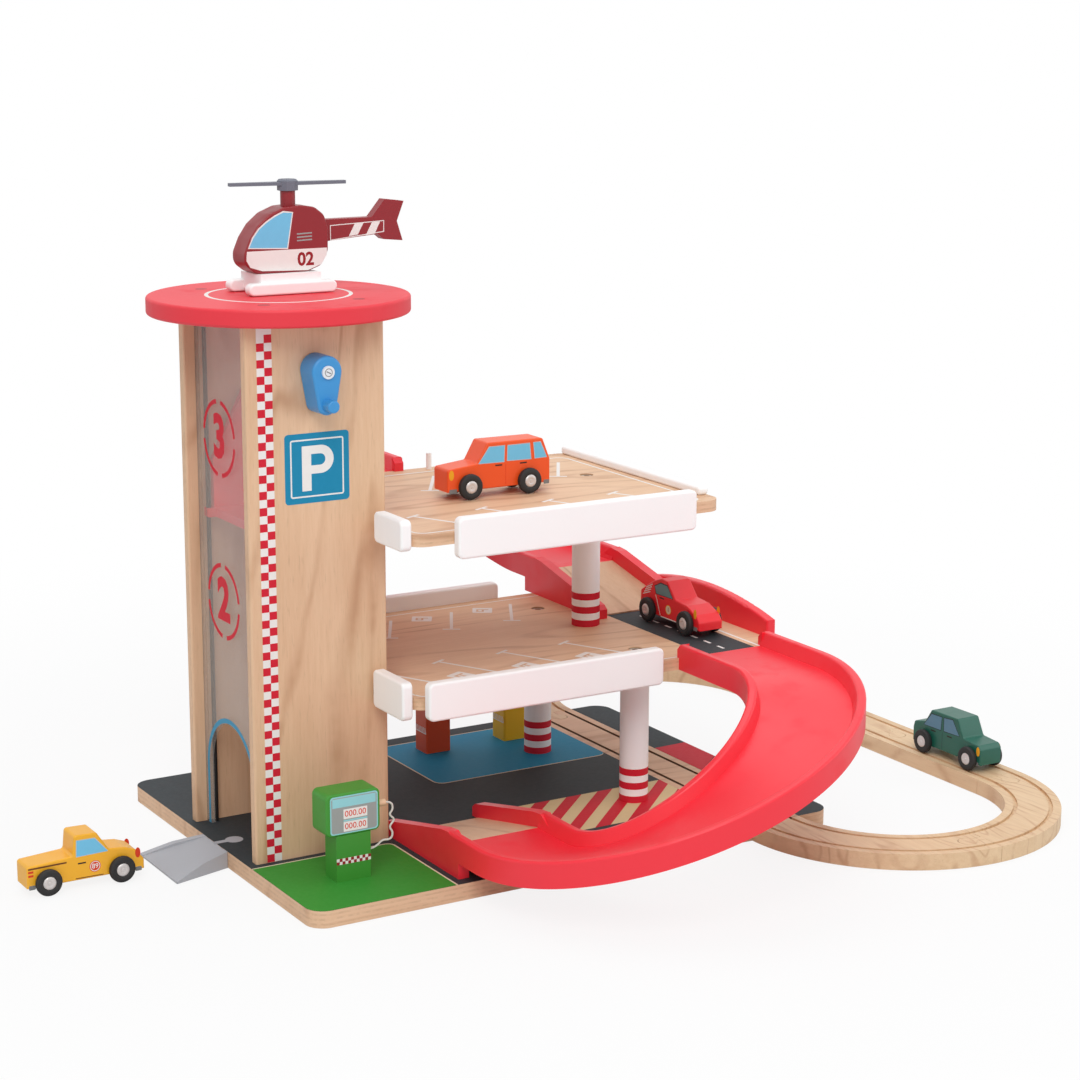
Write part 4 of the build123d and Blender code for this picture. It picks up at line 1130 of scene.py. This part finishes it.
def flank(colour, side):
    """A print on one flank; x grows from nose to tail. side is 1 on the car's left."""
    nose, heading, left = car_axes(colour)
    name = f"{colour}_car_{'left' if side > 0 else 'right'}_print"
    return Print(name, nose + left * side * BODY_W / 2, -heading, (0, 0, 1), left * side)


def pane(page, points, glass_colour="sky", border="silver", width=0.55):
    page.slab(points, glass_colour)
    page.outline(points, width, border, 1)


def handle(page, x, z):
    page.line((x - 2.8, z), (x + 2.8, z), 1.0, "dark")


def lamp(page, x, z, colour="amber"):
    """An upright oval lamp at the front end of a flank."""
    page.slab([(x + 1.9 * math.cos(a), z + 3.6 * math.sin(a))
               for a in (2 * math.pi * k / 28 for k in range(28))], colour)


def bumper(page, x, z, length):
    page.slab(rounded(x - length / 2, z - 1.5, x + length / 2, z + 1.5, 0.7), "bumper")


def orange_flank(page):
    pane(page, [(24.2, 24.1), (32.8, 35.8), (45.7, 35.8), (45.2, 23.7)])
    pane(page, [(47.2, 24.2), (47.7, 35.6), (66.0, 35.7), (67.2, 23.8)])
    pane(page, [(69.8, 23.9), (68.6, 35.8), (74.8, 35.9), (80.1, 24.1)])
    page.line((46.3, 8.0), (46.3, 22.5), 0.35, "lamp_red")
    handle(page, 40.6, 21.9)
    handle(page, 60.7, 21.8)
    lamp(page, 2.9, 18.0)
    bumper(page, 4.2, 6.6, 6.0)
    bumper(page, 79.6, 6.5, 4.6)


def red_flank(page):
    pane(page, [(57.3, 22.1), (59.3, 28.2), (51.3, 32.0), (42.0, 31.8), (34.4, 22.6)],
         "teal", "charcoal", 0.7)
    for k in range(4):
        page.line((62.0 + k, 28.6 - 2.1 * k), (70.5 + 1.4 * k, 24.6 - 1.9 * k), 0.8, "white")
    page.slab(circle(40.6, 13.4, 3.6, 32), "cream")
    page.ring(40.6, 13.4, 3.4, 0.5, "amber", 1, 32)
    page.figures("1", (40.6, 13.4), 3.6, "brick", 2, 0.05)
    curve = [(57.6, 21.4), (55.7, 17.4), (53.6, 12.4), (51.2, 7.2)]
    for p, q in zip(curve, curve[1:]):
        page.line(p, q, 0.8, "white")
    page.line((24.0, 6.5), (50.6, 6.5), 0.8, "white")
    handle(page, 49.4, 20.4)
    lamp(page, 5.6, 17.6)
    bumper(page, 5.0, 6.8, 5.0)


def green_flank(page):
    pane(page, [(66.5, 21.5), (57.7, 32.7), (44.9, 32.8), (45.9, 21.5)],
         "steel", "charcoal", 0.7)
    pane(page, [(43.0, 21.7), (43.2, 32.9), (32.4, 34.0), (24.2, 22.4)],
         "steel", "charcoal", 0.7)
    page.line((44.3, 7.5), (44.3, 20.8), 0.35, "charcoal")
    handle(page, 36.0, 19.3)
    handle(page, 55.0, 19.3)
    lamp(page, 2.8, 16.4)
    bumper(page, 4.2, 6.6, 4.6)


def yellow_flank(page):
    pane(page, [(47.9, 22.2), (47.4, 34.0), (34.2, 33.8), (25.1, 22.8)])
    page.line((81.0, 19.5), (54.4, 19.9), 1.1, "brown")
    handle(page, 43.8, 17.6)
    page.slab(circle(34.7, 13.9, 4.0, 32), "lamp_red")
    page.ring(34.7, 13.9, 3.3, 0.5, "white", 1, 32)
    page.figures("89", (34.7, 13.9), 3.4, "white", 1, 0.05)
    page.line((48.5, 7.4), (29.0, 7.2), 0.6, "brown")
    lamp(page, 4.4, 18.0, "lamp_red")
    for z in (14.0, 16.6):
        page.box(77.4, z, 81.0, z + 1.5, "lamp_red")
    bumper(page, 4.2, 6.6, 4.6)
    bumper(page, 78.5, 6.6, 4.6)


FLANKS = {"orange": orange_flank, "red": red_flank, "green": green_flank,
          "yellow": yellow_flank}
SLOTS = {"orange": "orange_paint", "red": "red_paint", "green": "dark_green_paint",
         "yellow": "yellow_paint"}
for colour, draw in FLANKS.items():
    for side in (-1, 1):
        page = flank(colour, side)
        draw(page)
        page.done(f"{colour}_car", SLOTS[colour])

# %% [markdown]
# ## Helicopter prints
# The same print is on both sides: a window with a white border, a white belly
# panel, three vents, and a framed stripe on the tail boom.

# %% Helicopter prints
HELI_Y = 12.0
CABIN_HALF, BOOM_HALF = 10.0, 4.0
for side, name in ((-1, "near"), (1, "far")):
    cabin = Print(f"helicopter_{name}_print", (0, HELI_Y + side * CABIN_HALF, 0),
                  (1, 0, 0), (0, 0, 1), (0, side, 0))
    window = [(-170.1, 417.4), (-141.1, 416.0), (-136.9, 440.3), (-144.2, 441.3),
              (-150.5, 438.6), (-156.8, 434.9), (-162.5, 430.4), (-167.0, 424.6)]
    cabin.slab(window, "sky")
    cabin.outline(window, 1.0, "white", 1)
    belly = [(-170.9, 415.6), (-171.4, 409.6), (-168.6, 404.9), (-160.0, 402.2),
             (-126.7, 401.2), (-116.4, 404.9), (-112.6, 411.0), (-112.4, 415.6)]
    cabin.slab(belly, "white")
    cabin.figures("02", (-128.2, 408.4), 8.8, "brick", 1, 0.38)
    for k in range(3):
        cabin.line((-134.4, 421.2 + 2.2 * k), (-123.3, 421.6 + 2.2 * k), 0.9, "grey")
    cabin.done("helicopter", "maroon_paint")
    boom = Print(f"helicopter_{name}_boom", (0, HELI_Y + side * BOOM_HALF, 0),
                 (1, 0, 0), (0, 0, 1), (0, side, 0))
    panel = [(-107.0, 419.4), (-66.2, 423.5), (-66.1, 431.4), (-107.0, 429.8)]
    boom.outline(panel, 0.8, "white")
    for x0, x1, top0, top1 in ((-93.0, -86.2, -88.2, -81.6), (-80.2, -73.4, -75.4, -69.2)):
        boom.slab([(x0, 421.8), (x1, 422.6), (top1, 430.6), (top0, 430.4)], "white", 1)
    boom.done("helicopter", "maroon_paint")

# %% [markdown]
# ## Floor, light and backdrop
# The floor looks white to the camera but keeps the toy's soft shadow: for
# camera rays it is mostly a white glow with a little diffuse white in it, and
# all glow further out, so that it has no visible edge. The lamps are three
# large soft boxes: a key from the left, a fill from the right and one above.

# %% Floor, light and backdrop
floor_mesh = bpy.data.meshes.new("floor")
FLOOR, SINK = 6.0, 0.0004      # half its side, and how far it lies under the toy
floor_mesh.from_pydata([(x * FLOOR, y * FLOOR, -SINK)
                        for x, y in ((-1, -1), (1, -1), (1, 1), (-1, 1))], [], [(0, 1, 2, 3)])
floor = show("floor", floor_mesh)
floor_look = bpy.data.materials.new("floor_white")
floor_look.use_nodes = True
floor_look.node_tree.nodes.clear()
paper = Wires(floor_look.node_tree)
distance = paper.add("ShaderNodeVectorMath", {"operation": "LENGTH"},
                     {0: paper.add("ShaderNodeTexCoord", out="Object")}, out="Value")
NEAR_GLOW, NEAR_R, FAR_R = 0.86, 0.30, 0.95    # full glow starts FAR_R metres out
glow_share = paper.add("ShaderNodeMapRange", {"interpolation_type": "SMOOTHSTEP"}, {
    "Value": distance, "From Min": NEAR_R, "From Max": FAR_R, "To Min": NEAR_GLOW})
glow_share = paper.add("ShaderNodeLightPath", out="Is Camera Ray") * glow_share
matt = paper.add("ShaderNodeBsdfDiffuse", {}, {"Color": (0.80, 0.80, 0.80, 1)})
glow = paper.add("ShaderNodeEmission")
surface = paper.add("ShaderNodeMixShader", {}, {0: glow_share, 1: matt, 2: glow})
paper.add("ShaderNodeOutputMaterial", {}, {"Surface": surface})
floor_mesh.materials.append(floor_look)

world = bpy.data.worlds.new("studio")
bpy.context.scene.world = world
world.use_nodes = True
world.node_tree.nodes.clear()
studio = Wires(world.node_tree)
ambient = studio.add("ShaderNodeBackground", {}, {"Color": (0.96, 0.98, 1.0, 1), "Strength": 0.55})
white = studio.add("ShaderNodeBackground", {}, {"Color": (1, 1, 1, 1)})
seen = studio.add("ShaderNodeLightPath", out="Is Camera Ray")
for ray in ("Is Glossy Ray", "Is Transmission Ray"):
    seen = seen.larger(studio.add("ShaderNodeLightPath", out=ray))
backdrop = studio.add("ShaderNodeMixShader", {}, {0: seen, 1: ambient, 2: white})
studio.add("ShaderNodeOutputWorld", {}, {"Surface": backdrop})


def soft_box(name, spot, target, size, watts):
    lamp = bpy.data.lights.new(name, "AREA")
    lamp.shape = "SQUARE"
    lamp.size = size
    lamp.energy = watts
    holder = show(name, lamp)
    holder.location = spot
    holder.rotation_euler = (Vector(target) - Vector(spot)).to_track_quat("-Z", "Y").to_euler()


soft_box("key", (-1.2, -1.9, 2.3), (0, 0, 0.15), 1.6, 42)
soft_box("fill", (2.2, -1.2, 1.4), (0, 0, 0.15), 2.0, 14)
soft_box("top", (0.2, 0.6, 2.6), (0, 0, 0.1), 1.8, 16)
bpy.context.scene.view_settings.view_transform = "Standard"
print("lamps:", len(bpy.data.lights))
